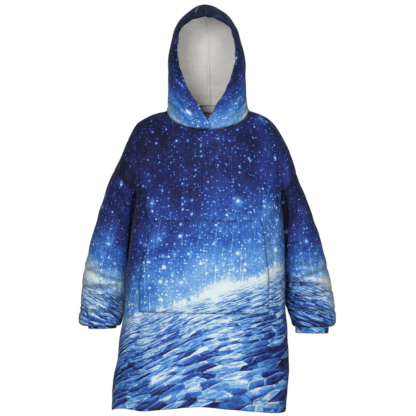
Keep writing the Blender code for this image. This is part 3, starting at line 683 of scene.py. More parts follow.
def slice_points(cut, turn, scale):
    """Points round slices; turn is 0 at the inner edge and passes over the front."""
    outer = points_of(cut.outer_x, cut.y, cut.outer_z)
    inner = points_of(cut.inner_x, cut.y, cut.inner_z)
    half = (inner - outer) / 2 * (np.cos(turn) * scale)[..., None]
    point = (outer + inner) / 2 + half
    point[..., 1] -= cut.depth * np.sin(turn) * scale
    return point


def ring_turns():
    return (math.pi * np.arange(2 * ARMHOLE_CELLS) / ARMHOLE_CELLS)[None, :]


def sleeve_grid(rows, creases):
    """A sleeve's points, ring by ring from the armhole to the cuff seam."""
    last = len(rows) - 1
    places = (np.arange(SLEEVE_CELLS + 1) / SLEEVE_CELLS * last)[:, None]
    turn = ring_turns()
    cut = Slice(*(read_table(rows, places, None, name) for name in Slice._fields))
    fade = smooth(places, 0.2, 1.2) * (1 - smooth(places, last - 3.4, last - 2.0))
    return slice_points(cut, turn, 1 - crease_shape(creases, places, turn) * fade)


def cuff_grid(rows, end):
    """A cuff starts inside the sleeve's roll, a gap inside the turned-up sleeve end."""
    top = rows[-1]
    share = (np.arange(CUFF_CELLS + 1) / CUFF_CELLS)[:, None]
    cut = Slice(*(mix(a, b, share) for a, b in zip(top, end)))
    scale = np.full(np.broadcast(share, ring_turns()).shape, 1 - 2 * SEAM_GAP / top.depth)
    return slice_points(cut, ring_turns(), scale)


# Form of the hood
def neck_turns():
    """Directions along the front neckline, with the corner that crosses the middle first."""
    crossing = -CROSSING_TURN * (1 - np.arange(CROSSING_CELLS) / CROSSING_CELLS)
    return np.concatenate([crossing, QUARTER * np.arange(FRONT.neck_cells + 1) / FRONT.neck_cells])


def hood_front_shares():
    """Where the front half of a rib has its points, as shares from its edge to its side."""
    return (neck_turns() + CROSSING_TURN) / (QUARTER + CROSSING_TURN)


def hood_neckline(hand):
    front = neckline_point(FRONT, hand * neck_turns())
    front[:CROSSING_CELLS, 2] += CROSSING_RISE * (1 - np.arange(CROSSING_CELLS) / CROSSING_CELLS)
    cells = BACK.neck_cells
    back = neckline_point(BACK, hand * QUARTER * (1 - np.arange(1, cells + 1) / cells))
    return np.concatenate([front, back])


def hood_rib(rib, hand):
    """Points on a rib, from its front edge round the side to the middle of the back."""
    start = math.asin(rib.edge_x / rib.side_x) if rib.side_x else 0.0
    behind = QUARTER * (1 + np.arange(1, BACK.neck_cells + 1) / BACK.neck_cells)
    turn = np.concatenate([mix(start, QUARTER, hood_front_shares()), behind])
    forward = np.cos(turn)
    lean = mix(NECK_X, HOOD_LEAN, max(rib.side_z, 0.0) / HOOD[-1].side_z)
    share = forward / max(math.cos(start), 1e-9)
    front = forward >= 1e-9
    y = np.where(front, mix(-rib.side_y, -rib.edge_y, share), mix(-rib.side_y, rib.seam_y, -forward))
    z = np.where(front, mix(rib.side_z, rib.edge_z, share), mix(rib.side_z, rib.seam_z, -forward))
    return points_of(lean + hand * rib.side_x * np.sin(turn), y, z)


def hood_grid(hand):
    """One hood half; the left one (hand 1) passes under the right one at the throat."""
    coarse = np.stack([hood_neckline(hand)] + [hood_rib(rib, hand) for rib in HOOD])
    last = len(coarse) - 1
    places = np.arange(last * HOOD_ROW_CELLS + 1) / HOOD_ROW_CELLS
    grid = hermite(np.arange(last + 1.0), coarse, places)
    closed = places >= HOOD_CLOSED_FROM
    grid[closed, 0, 0] = mix(NECK_X, HOOD_LEAN, grid[closed, 0, 2] / HOOD[-1].side_z)
    if hand > 0:
        fade = np.interp(places, np.arange(len(CROSSING_FADE)), CROSSING_FADE)
        shares = np.concatenate([hood_front_shares(), np.ones(BACK.neck_cells)])
        inset = CROSSING_INSET * fade[:, None] * np.maximum(1 - shares / CROSSING_SHARE, 0.0)
        grid[..., 1] += inset
        grid[0, :, 2] -= inset[0] * TUCKED_UNDER
    return grid


# Form of what lies on the panels
def pocket_places():
    """Every pocket point as a place on the front panel, and how far down the pocket it is."""
    across = (np.arange(POCKET_COLUMNS + 1) / POCKET_COLUMNS)[None, :]
    down = (1 - np.arange(POCKET_ROWS + 1) / POCKET_ROWS)[:, None]
    z = mix(POCKET[-1].z, POCKET[0].z, down)
    x = mix(read_table(POCKET, z, "z", "right"), read_table(POCKET, z, "z", "left"), across)
    z = z - POCKET_DROP_LEFT * across * down
    right = read_table(TORSO, z, "z", "right")
    left = read_table(TORSO, z, "z", "left")
    panel_across = np.arcsin((x - (right + left) / 2) / ((left - right) / 2)) / math.pi + 0.5
    hem = read_table(HEM, 2 * panel_across - 1, "turn", FRONT.name)
    return panel_across, (z - hem) / (ARMPIT_Z - hem), down


def tape_grid():
    """The tape's outer face, inside the back panel's wall below the neck seam."""
    cells = 2 * BACK.neck_cells
    turn = math.pi * (np.arange(FINE, cells - FINE + 1) / cells - 0.5)
    inward = np.stack([-np.sin(turn) * BACK.neck_y, -np.cos(turn) * NECK_HALF, 0 * turn], axis=-1)
    inward /= np.linalg.norm(inward, axis=-1, keepdims=True)
    lines = []
    for drop in np.linspace(TAPE_HEIGHT, SEAM_GAP, 6):
        line = neckline_point(BACK, turn) + inward * (WALL + TAPE_LIFT)
        line[:, 2] -= drop
        lines.append(line)
    return np.stack(lines)


# Working on grids of points
class Piece:
    """One cut piece: its grid facing out, whether a tube, which borders are sewn, its lay."""

    def __init__(self, name, grid, tube=False, sewn=(), wall=WALL):
        self.name = name
        self.grid = grid
        self.tube = tube
        self.sewn = sewn
        self.wall = wall
        self.normals = None
        self.borders = border_distances(grid, tube)
        self.printed_inside = np.zeros(grid.shape[:2], dtype=bool)
        self.free = np.ones(grid.shape[:2], dtype=bool)
        for border in sewn:
            self.free &= self.borders[border] > 1e-6
        self.shade = np.zeros(grid.shape[:2])


def line_shade(apart):
    """The painted shade along a row of sewing: 1 on it, 0 a few millimetres away."""
    return np.exp(-(apart / SEAM_SHADE_WIDTH) ** 2)


def border_distances(grid, tube):
    """How far along the cloth each point is from each border."""
    rows, columns = grid.shape[:2]
    down = np.linalg.norm(np.diff(grid, axis=0), axis=-1)
    down = np.concatenate([np.zeros((1, columns)), np.cumsum(down, axis=0)])
    borders = {"start": down, "end": down[-1] - down}
    if not tube:
        aside = np.linalg.norm(np.diff(grid, axis=1), axis=-1)
        aside = np.concatenate([np.zeros((rows, 1)), np.cumsum(aside, axis=1)], axis=1)
        borders["first"] = aside
        borders["last"] = aside[:, -1:] - aside
    return borders


def cell_normals(grid, tube):
    """Each point's normal, summed over the cells round it and not yet of unit length."""
    closed = np.concatenate([grid, grid[:, :1]], axis=1) if tube else grid
    a, b = closed[:-1, :-1], closed[:-1, 1:]
    c, d = closed[1:, 1:], closed[1:, :-1]
    faces = np.cross(c - a, d - b)
    total = np.zeros(closed.shape)
    for part in (total[:-1, :-1], total[:-1, 1:], total[1:, 1:], total[1:, :-1]):
        part += faces
    if tube:
        total[:, 0] += total[:, -1]
        total = total[:, :-1]
    return total


def unit(vectors):
    return vectors / np.maximum(np.linalg.norm(vectors, axis=-1, keepdims=True), 1e-12)


def set_sewn_normals(pieces):
    """Normals that agree where two pieces are sewn to each other."""
    totals = [cell_normals(piece.grid, piece.tube).reshape(-1, 3) for piece in pieces]
    points = np.concatenate([piece.grid.reshape(-1, 3) for piece in pieces])
    keys = np.round(points * 50000).astype(np.int64)
    _, group = np.unique(keys, axis=0, return_inverse=True)
    group = group.reshape(-1)
    merged = np.zeros((group.max() + 1, 3))
    np.add.at(merged, group, np.concatenate(totals))
    normals = unit(merged)[group]
    start = 0
    for piece in pieces:
        count = piece.grid.shape[0] * piece.grid.shape[1]
        piece.normals = normals[start:start + count].reshape(piece.grid.shape)
        start += count


# Creases, seams and hems
def curve_through(points, steps=14):
    """A smooth line through a few points."""
    points = np.array(points, dtype=float)[:, None, :]
    at = np.linspace(0, len(points) - 1, steps)
    return hermite(np.arange(len(points), dtype=float), points, at)[:, 0, :]


def laid_line(crease, pieces):
    """The crease's line in space: its points, seen from one side, moved onto the cloth."""
    flat = curve_through(crease.points)
    cloth, normals = [], []
    for piece in pieces:
        if piece.name in crease.pieces:
            cloth.append(piece.grid.reshape(-1, 3))
            normals.append(piece.normals.reshape(-1, 3))
    cloth, normals = np.concatenate(cloth), np.concatenate(normals)
    sign = -1 if crease.view == "front" else 1
    seen = cloth[normals[:, 1] * sign > 0.05]
    line = []
    for x, z in flat:
        nearest = np.argmin((seen[:, 0] - x) ** 2 + (seen[:, 2] - z) ** 2)
        line.append(seen[nearest])
    line = np.array(line)
    line[:, 0] = flat[:, 0]
    line[:, 2] = flat[:, 1]
    return line


def crease_depth(crease, line, points):
    """How deep the crease is at each point: a trough with a soft lip on both sides."""
    reach = crease.width * CREASE_REACH
    near = np.all((points > line.min(axis=0) - reach) & (points < line.max(axis=0) + reach), axis=1)
    depth = np.zeros(len(points))
    spots = points[near]
    best = np.full(len(spots), np.inf)
    along = np.zeros(len(spots))
    lengths = np.linalg.norm(np.diff(line, axis=0), axis=1)
    places = np.concatenate([[0.0], np.cumsum(lengths)]) / lengths.sum()
    for index in range(len(line) - 1):
        start, step = line[index], line[index + 1] - line[index]
        share = np.clip((spots - start) @ step / (step @ step), 0.0, 1.0)
        apart = np.linalg.norm(spots - start - share[:, None] * step, axis=1)
        closer = apart < best
        best[closer] = apart[closer]
        along[closer] = mix(places[index], places[index + 1], share)[closer]
    strength = crease.start * (1 - along) ** 2 + crease.end * along ** 2
    strength += CREASE_MIDDLE * along * (1 - along)
    apart = best / crease.width
    shape = np.exp(-apart ** 2) - LIP * np.exp(-(apart / LIP_WIDTH) ** 2)
    depth[near] = crease.depth * strength * shape / (1 - LIP)
    return depth


def pucker(along, apart, size, reach):
    """Short uneven waves that run away from a line of sewing."""
    wave = 0.6 * np.sin(along * 370 + 1.7 * np.sin(along * 103)) + 0.4 * np.sin(along * 217 + 1.3)
    return size * wave * np.exp(-apart / reach)


def seam_shape(apart):
    """The dip at a seam, with the swell beside it."""
    return (-SEAM_DIP * np.exp(-(apart / SEAM_DIP_WIDTH) ** 2)
            + SEAM_SWELL * np.exp(-((apart - SEAM_SWELL_AT) / SEAM_DIP_WIDTH) ** 2))


def turned_edge(apart, width, lift):
    """Doubled cloth along a free edge: raised up to its row of stitches, which pulls it in."""
    return (lift * (1 - smooth(apart, width - TURNING_FALL, width + TURNING_FALL))
            - 0.5 * lift * np.exp(-((apart - width) / STITCH_PULL_WIDTH) ** 2)
            - lift * np.exp(-(apart / EDGE_ROUNDING) ** 2))


# Sleeves, cuffs, hood and panels as pieces
def facing_out(grid):
    """The same grid with its columns the other way round, so that it faces the other way."""
    return grid[:, ::-1]


def tube_facing_out(grid):
    return np.concatenate([grid[:, :1], grid[:, :0:-1]], axis=1)


def sewn_pieces():
    return [
        Piece("front", panel_grid(FRONT), sewn=("first", "last", "end")),
        Piece("back", facing_out(panel_grid(BACK)), sewn=("first", "last", "end")),
        Piece("sleeve_right", sleeve_grid(SLEEVE_RIGHT, CREASES_RIGHT), True, ("start",)),
        Piece("sleeve_left", tube_facing_out(sleeve_grid(SLEEVE_LEFT, CREASES_LEFT)), True,
              ("start",)),
        Piece("hood_right", facing_out(hood_grid(-1)), sewn=("start", "end", "first")),
        Piece("hood_left", hood_grid(1), sewn=("start", "end", "last")),
    ]


def seam_strength(piece, border):
    """How deep a seam sits: shallow at the sides, on top of the shoulders and over the head."""
    rows, columns = piece.grid.shape[:2]
    if piece.name.startswith("sleeve"):
        return mix(1.0, SHALLOW_SEAM, smooth(-np.cos(ring_turns()), 0.6, 1.0))
    if piece.name.startswith("hood"):
        return 1.0 if border == "start" else SHALLOW_SEAM
    if border == "end":
        share = neck_share(FRONT if piece.name == "front" else BACK)
        across = np.arange(columns) / (columns - 1)
        at_neck = smooth(np.minimum(across, 1 - across), share - 0.02, share + 0.01)
        return mix(SHALLOW_SEAM, 1.0, at_neck)[None, :]
    rise = (np.arange(rows) - LOWER_CELLS) / ARMHOLE_CELLS
    at_armhole = smooth(rise, -0.02, 0.08) * (1 - smooth(rise, 0.70, 1.0))
    return mix(SHALLOW_SEAM, 1.0, at_armhole)[:, None]


def hood_front_border(piece):
    return "last" if piece.name == "hood_right" else "first"


def relief(piece, lines):
    """How far each point of a piece moves out: its creases, seams, hems and puckers."""
    points = piece.grid.reshape(-1, 3)
    total = np.zeros(len(points))
    deep = np.zeros(len(points))
    for crease, line in lines:
        if piece.name in crease.pieces:
            depth = crease_depth(crease, line, points)
            total -= depth
            # Deep creases get shade painted into their colour
            if crease.depth > DEEP_CREASE:
                deep = np.maximum(deep, smooth(depth, 0.002, 0.010))
    total = total.reshape(piece.grid.shape[:2])
    piece.shade = np.maximum(piece.shade, deep.reshape(total.shape))
    total += unevenness(piece.grid)
    for border in piece.sewn:
        strength = seam_strength(piece, border)
        total += seam_shape(piece.borders[border]) * strength
        # Shade painted along the seam
        piece.shade = np.maximum(piece.shade, line_shade(piece.borders[border]) * strength)
        if not piece.tube:
            along = piece.borders["first" if border in ("start", "end") else "start"]
            total += pucker(along, piece.borders[border], SEAM_PUCKER, SEAM_PUCKER_REACH)
    return total


def unevenness(grid):
    """Slow shallow waves all over, as in thick cloth that has been folded and worn."""
    x, y, z = grid[..., 0], grid[..., 1], grid[..., 2]
    bend = 1.4 * np.sin(21 * z + 9 * x) + np.sin(31 * x - 17 * y)
    return UNEVEN * (np.sin(46 * x + 12 * z + bend) + 0.7 * np.sin(63 * z - 25 * y + 1.3 * bend)
                     + 0.5 * np.sin(88 * x - 71 * z + 2.1 + bend)) / 1.5


def armhole_swell(piece):
    """The body's cloth blouses over the lower half of each armhole seam."""
    above = np.arange(piece.grid.shape[0]) - LOWER_CELLS
    rise = np.clip(above / ARMHOLE_CELLS, 0.0, 1.0)[:, None]
    where = smooth(rise, 0.0, 0.45) * (1 - smooth(rise, 0.45, 0.95))
    apart = np.minimum(piece.borders["first"], piece.borders["last"])
    return ARMHOLE_SWELL * where * overhang(apart, ARMHOLE_SWELL_REACH)


def sleeve_shade(piece):
    """Less light in the troughs of the stacked creases, and where a sleeve lies at the body."""
    rows, creases = ((SLEEVE_RIGHT, CREASES_RIGHT) if piece.name == "sleeve_right"
                     else (SLEEVE_LEFT, CREASES_LEFT))
    places = (np.arange(SLEEVE_CELLS + 1) / SLEEVE_CELLS * (len(rows) - 1))[:, None]
    turn = ring_turns() if piece.name == "sleeve_right" else -ring_turns()
    drawn_in = crease_shape(creases, places, turn)
    stacked = STACK_SHADE * smooth(drawn_in, 0.0, STACK_DEPTH) * smooth(places, *STACK_FROM)
    at_body = AT_BODY[piece.name]
    inner = smooth(np.cos(turn), at_body.start, at_body.full) * (1 - smooth(places, *at_body.fade))
    return np.maximum(stacked, inner)


def pressed_to_body(piece):
    """Below the armpit the sleeve's inner edge rests against the body's side."""
    below = piece.borders["start"]
    where = smooth(below, *PRESS_STARTS) * (1 - smooth(below, *PRESS_ENDS))
    return SLEEVE_PRESS * where * np.maximum(np.cos(ring_turns()), 0.0) ** 3


def overhang(apart, reach):
    """Rises steeply from a seam and dies away slowly."""
    return (1 - np.exp(-(apart / OVERHANG_RISE) ** 2)) * np.exp(-(apart / reach) ** 2)


def part_seams(piece, outer):
    """Draws the sewn borders back by half the seam gap, along the cloth."""
    shift = SEAM_GAP / 2
    moved = outer.copy()
    if "start" in piece.sewn:
        moved[0] += unit(outer[1] - outer[0]) * shift
    if "end" in piece.sewn:
        moved[-1] += unit(outer[-2] - outer[-1]) * shift
    if "first" in piece.sewn:
        moved[:, 0] += unit(outer[:, 1] - outer[:, 0]) * shift
    if "last" in piece.sewn:
        moved[:, -1] += unit(outer[:, -2] - outer[:, -1]) * shift
    return moved


# Meshes
def perimeter(rows, columns, tube):
    """Border points in the order of the cells' edges: closed loops of point numbers."""
    numbers = np.arange(rows * columns).reshape(rows, columns)
    if tube:
        return [numbers[0], numbers[-1, ::-1]]
    return [np.concatenate([numbers[0, :-1], numbers[:-1, -1], numbers[-1, :0:-1], numbers[:0:-1, 0]])]


def outward_along_cloth(grid, tube):
    """At border points, the direction that leaves the cloth."""
    away = np.zeros(grid.shape)
    away[0] += unit(grid[0] - grid[1])
    away[-1] += unit(grid[-1] - grid[-2])
    if not tube:
        away[:, 0] += unit(grid[:, 0] - grid[:, 1])
        away[:, -1] += unit(grid[:, -1] - grid[:, -2])
    return unit(away).reshape(-1, 3)


def shell(piece, outer, inner, materials):
    """A closed thin wall with a rounded rim, its outer face printed and its inner one brushed."""
    rows, columns = outer.shape[:2]
    count = rows * columns
    numbers = np.arange(count).reshape(rows, columns)
    if piece.tube:
        numbers = np.concatenate([numbers, numbers[:, :1]], axis=1)
    a, b = numbers[:-1, :-1], numbers[:-1, 1:]
    c, d = numbers[1:, 1:], numbers[1:, :-1]
    outside = np.stack([a, b, c, d], axis=-1).reshape(-1, 4)
    inside = outside[:, ::-1] + count
    flat_outer, flat_inner = outer.reshape(-1, 3), inner.reshape(-1, 3)
    away = outward_along_cloth(outer, piece.tube)
    points, faces, kinds = [flat_outer, flat_inner], [outside, inside], []
    print_inside, free = piece.printed_inside.reshape(-1), piece.free.reshape(-1)
    kinds.append(np.zeros(len(outside), dtype=int))
    kinds.append(np.where(print_inside[outside].all(axis=1), 0, 1))
    extra = 2 * count
    for loop in perimeter(rows, columns, piece.tube):
        after = np.roll(loop, -1)
        middle = (flat_outer[loop] + flat_inner[loop]) / 2 + away[loop] * RIM_BULGE
        mids = np.arange(len(loop)) + extra
        mids_after = np.roll(mids, -1)
        points.append(middle)
        faces.append(np.stack([after, loop, mids, mids_after], axis=-1))
        faces.append(np.stack([mids_after, mids, loop + count, after + count], axis=-1))
        kinds += [np.zeros(len(loop), dtype=int), np.where(free[loop], 0, 1)]
        extra += len(loop)
    points, faces = np.concatenate(points), np.concatenate(faces)
    mesh = bpy.data.meshes.new(piece.name)
    mesh.from_pydata(points.tolist(), [], faces.tolist())
    for material in materials:
        mesh.materials.append(material)
    mesh.polygons.foreach_set("material_index", np.concatenate(kinds).astype(np.int32))
    add_cloth_map(mesh, piece, faces, len(points))
    # Painted shade for the materials: from the piece on its outer face, also inside the body's panels, and
    # on every rim
    shade = np.zeros(len(points))
    shade[:count] = piece.shade.reshape(-1)
    if piece.name in ("front", "back"):
        shade[count:2 * count] = piece.shade.reshape(-1)
    shade[2 * count:] = RIM_SHADE
    mesh.attributes.new("seam_shade", "FLOAT", "POINT").data.foreach_set("value", shade)
    mesh.shade_smooth()
    mesh.update()
    obj = bpy.data.objects.new(piece.name + "_cloth", mesh)
    bpy.context.scene.collection.objects.link(obj)
    return obj


def add_cloth_map(mesh, piece, faces, total):
    """A UV map in metres of the printed design, laid on the cloth along its own threads."""
    rows, columns = piece.grid.shape[:2]
    count = rows * columns
    lay = next(row for row in LAYS if row.name == piece.name)
    if piece.tube:
        steps = np.linalg.norm(piece.grid[rows // 2] - np.roll(piece.grid[rows // 2], 1, axis=0), axis=1)
        right, up = np.cumsum(steps)[None, :], piece.borders["start"][:, :1]
        around = steps.sum()
    else:
        right, up, around = piece.borders["first"], piece.borders["start"], np.inf
        if lay.from_middle:
            right = right - right[:, columns // 2:columns // 2 + 1]
        if piece.name == "hood_right":
            right = piece.borders["last"]
    right, up, around = right * lay.scale, up * lay.scale, around * lay.scale
    right, up = np.broadcast_arrays(lay.right + right, lay.up + (-up if lay.downwards else up))
    flat = np.stack([right, up], axis=-1).reshape(-1, 2)
    spots = np.zeros((total, 2))
    spots[:count] = flat
    spots[count:2 * count] = flat
    rim = 2 * count
    for loop in perimeter(rows, columns, piece.tube):
        spots[rim:rim + len(loop)] = flat[loop]
        rim += len(loop)
    corners = spots[faces]
    wide = np.ptp(corners[..., 0], axis=1) > around / 2
    behind = wide[:, None] & (corners[..., 0] < lay.right + around / 2)
    corners[..., 0][behind] += around if np.isfinite(around) else 0.0
    layer = mesh.uv_layers.new(name="design")
    layer.data.foreach_set("uv", corners.reshape(-1).astype(np.float32))


# Building the pieces
def build_sewn_cloth(materials):
    """Front, back, sleeves and hood, and the creases' lines, which the pocket shares."""
    pieces = sewn_pieces()
    set_sewn_normals(pieces)
    lines = [(crease, laid_line(crease, pieces)) for crease in CREASES]
    built = {}
    for piece in pieces:
        move = relief(piece, lines)
        if piece.name in ("front", "back"):
            move += armhole_swell(piece)
            move += turned_edge(piece.borders["start"], HEM_WIDTH, HEM_LIFT)
            # Shade painted along the hem's row of stitches
            hem_line = line_shade(piece.borders["start"] - HEM_WIDTH)
            piece.shade = np.maximum(piece.shade, HEM_LINE_SHADE * hem_line)
            piece.printed_inside = piece.borders["start"] < HEM_WIDTH
        if piece.name.startswith("sleeve"):
            piece.shade = np.maximum(piece.shade, sleeve_shade(piece))
            tuck = SLEEVE_TUCK * overhang(piece.borders["start"], SLEEVE_TUCK_REACH)
            move -= tuck * np.abs(piece.normals[..., 1])
            move += pressed_to_body(piece)
        if piece.name.startswith("hood"):
            move += hood_edges(piece)
        outer = piece.grid + piece.normals * move[..., None]
        outer = part_seams(piece, outer)
        inner = outer - piece.normals * (piece.wall + inside_ridges(piece))[..., None]
        if piece.name.startswith("hood"):
            keep_to_one_side(piece, outer)
            keep_to_one_side(piece, inner)
        piece.outer, piece.inner = outer, inner
        built[piece.name] = (shell(piece, outer, inner, materials), piece)
    return built, lines


def keep_to_one_side(piece, points):
    """Above the face the two hood halves meet in the middle, and neither reaches past it."""
    upper = points[(HOOD_CLOSED_FROM - 2) * HOOD_ROW_CELLS:]
    middle = mix(NECK_X, HOOD_LEAN, np.clip(upper[..., 2] / HOOD[-1].side_z, 0.0, 1.0))
    if piece.name == "hood_left":
        upper[..., 0] = np.maximum(upper[..., 0], middle + SEAM_GAP / 2)
    else:
        upper[..., 0] = np.minimum(upper[..., 0], middle - SEAM_GAP / 2)


def hood_edges(piece):
    """The turned edge round the face, and above it the seam where the halves meet in front."""
    rows = np.arange(piece.grid.shape[0])[:, None] / HOOD_ROW_CELLS
    closed = smooth(rows, HOOD_CLOSED_FROM - 1.0, HOOD_CLOSED_FROM)
    apart = piece.borders[hood_front_border(piece)]
    hem = turned_edge(apart, HOOD_HEM_WIDTH, HEM_LIFT)
    along = piece.borders["start"][:, -1 if hood_front_border(piece) == "last" else 0][:, None]
    turn = 0.0 if piece.name == "hood_left" else 2.1
    uneven = np.sin(along * 118 + turn) + 0.7 * np.sin(along * 197 + 2 * turn)
    hem = hem + FACE_UNEVEN * uneven * np.exp(-(apart / FACE_UNEVEN_REACH) ** 2)
    meeting = SHALLOW_SEAM * seam_shape(apart)
    return mix(hem, meeting, closed) * smooth(piece.borders["start"], 0.0, FACE_FLAT_AT_NECK)


def inside_ridges(piece):
    """On the hood's inside, the neck seam's allowance and the step of the turned face edge."""
    ridges = np.zeros(piece.grid.shape[:2])
    if piece.name.startswith("hood"):
        from_ridge = (piece.borders["start"] - NECK_RIDGE_UP) / NECK_RIDGE_WIDTH
        ridges += NECK_RIDGE_HEIGHT * np.exp(-from_ridge ** 2)
        face = piece.borders[hood_front_border(piece)]
        ridges += TURNING_STEP * (1 - smooth(face, HOOD_HEM_WIDTH - TURNING_STEP_WIDTH, HOOD_HEM_WIDTH))
    return ridges


def build_allowance(built, reverse):
    """The doubled edges of the seam over the head, pressed to one side along the inside."""
    right, left = built["hood_right"][1], built["hood_left"][1]
    middle = ((right.inner[:, 0] + left.inner[:, -1]) / 2)[:-ALLOWANCE_SHORT]
    ways = unit(right.normals[:, 0] + left.normals[:, -1])[:-ALLOWANCE_SHORT]
    aside = unit(np.cross(ways, unit(np.gradient(middle, axis=0))))
    aside *= np.sign(aside[:, :1])
    shift = np.full(len(middle), ALLOWANCE_ASIDE)
    for bend in ALLOWANCE_BENDS:
        shift += bend.by * np.exp(-((middle[:, 2] - bend.z) / bend.reach) ** 2)
    across = np.linspace(-1.0, 1.0, ALLOWANCE_POINTS)[None, :, None]
    spots = middle[:, None] + aside[:, None] * (shift[:, None, None] + across * ALLOWANCE_HALF)
    height = ALLOWANCE_HEIGHT * np.sqrt(np.maximum(1 - across ** 2, 0.0))
    piece = Piece("hood_allowance", spots - ways[:, None] * height)
    return shell(piece, piece.grid, spots + ways[:, None] * ALLOWANCE_SUNK, [reverse, reverse])


def build_cuff(name, rows, end, hand, materials):
    """A cuff band with small gathers all round."""
    grid = cuff_grid(rows, end)
    if hand > 0:
        grid = tube_facing_out(grid)
    piece = Piece(name, grid, True)
    piece.normals = unit(cell_normals(grid, True))
    apart = piece.borders["end"]
    along = np.cumsum(np.linalg.norm(grid - np.roll(grid, 1, axis=1), axis=-1), axis=1)
    waves = np.sin(along * 560 + 1.5 * np.sin(along * 71))
    gathers = CUFF_GATHER * waves * smooth(apart, *CUFF_GATHER_FROM)
    move = gathers - HEM_LIFT * np.exp(-(apart / CUFF_EDGE_ROUNDING) ** 2)
    outer = grid + piece.normals * move[..., None]
    piece.outer = outer
    return shell(piece, outer, outer - piece.normals * piece.wall, materials), piece


def build_pocket(lines, materials):
    """The pocket lies on the front panel: the panel's points with its creases, moved out."""
    panel_across, up, down = pocket_places()
    step = 0.004
    grid = panel_point(FRONT, panel_across, up)
    sideways = panel_point(FRONT, panel_across + step, up) - panel_point(FRONT, panel_across - step, up)
    upwards = panel_point(FRONT, panel_across, up + step) - panel_point(FRONT, panel_across, up - step)
    piece = Piece("pocket", grid)
    piece.normals = unit(np.cross(sideways, upwards))
    points = grid.reshape(-1, 3)
    move = np.zeros(len(points))
    for crease, line in lines:
        if "pocket" in crease.pieces:
            move -= crease_depth(crease, line, points)
    move = move.reshape(grid.shape[:2]) + unevenness(grid)
    top, bottom = piece.borders["end"], piece.borders["start"]
    aside = np.minimum(piece.borders["first"], piece.borders["last"])
    open_edge = smooth(down, 0.0, 0.20) * (1 - smooth(down, 0.45, 0.80))
    sewn = np.minimum(np.minimum(top, bottom), mix(aside, 1.0, open_edge))
    lift = POCKET_LIFT + POCKET_PUFF * smooth(sewn, 0.0, POCKET_PUFF_REACH)
    lift += POCKET_GAPE * open_edge * np.exp(-(aside / POCKET_GAPE_REACH) ** 2)
    edge = np.minimum(np.minimum(top, bottom), aside)
    round_off = POCKET_ROUNDING * np.exp(-(edge / POCKET_ROUNDING_WIDTH) ** 2)
    groove = POCKET_GROOVE * np.exp(-((edge - POCKET_STITCH_INSET) / POCKET_GROOVE_WIDTH) ** 2)
    # Shade painted along the pocket's sides and bottom and, fainter, along its top
    piece.shade = np.maximum(POCKET_EDGE_SHADE * line_shade(np.minimum(bottom, aside)),
                             POCKET_TOP_SHADE * line_shade(top))
    puckers = pucker(piece.borders["first"], np.minimum(top, bottom), SEAM_PUCKER,
                     POCKET_PUCKER_REACH)
    inner = grid + piece.normals * (move + lift)[..., None]
    outer = inner + piece.normals * (WALL + puckers - round_off - groove)[..., None]
    piece.outer = outer
    piece.printed_inside = aside < POCKET_TURNED_IN
    return shell(piece, outer, inner, materials), piece


def build_tape(material):
    """The tape that covers the back neck seam on the inside."""
    grid = facing_out(tape_grid())
    piece = Piece("neck_tape", grid, wall=TAPE_WALL)
    piece.normals = unit(cell_normals(grid, False))
    piece.outer = grid
    return shell(piece, grid, grid - piece.normals * piece.wall, [material, material]), piece


# Stitches, laid along paths on the cloth
def border_path(piece, border, inset, start=0.0, end=1.0):
    """Points and normals of a line that keeps its distance from a border of the cloth."""
    apart = piece.borders[border]
    rows, columns = apart.shape
    spots, normals = [], []
    across = border in ("start", "end")
    count = columns if across else rows
    for index in range(int(start * (count - 1)), int(end * (count - 1)) + 1):
        line = apart[:, index] if across else apart[index]
        points = piece.outer[:, index] if across else piece.outer[index]
        ways = piece.normals[:, index] if across else piece.normals[index]
        order = np.argsort(line)
        spots.append([np.interp(inset, line[order], points[order, k]) for k in range(3)])
        normals.append([np.interp(inset, line[order], ways[order, k]) for k in range(3)])
    return np.array(spots), unit(np.array(normals))


STITCH_SIZES = (
    ("Pitch", STITCH_PITCH),
    ("Stitch Length", STITCH_LENGTH),
    ("Stitch Width", STITCH_WIDTH),
)


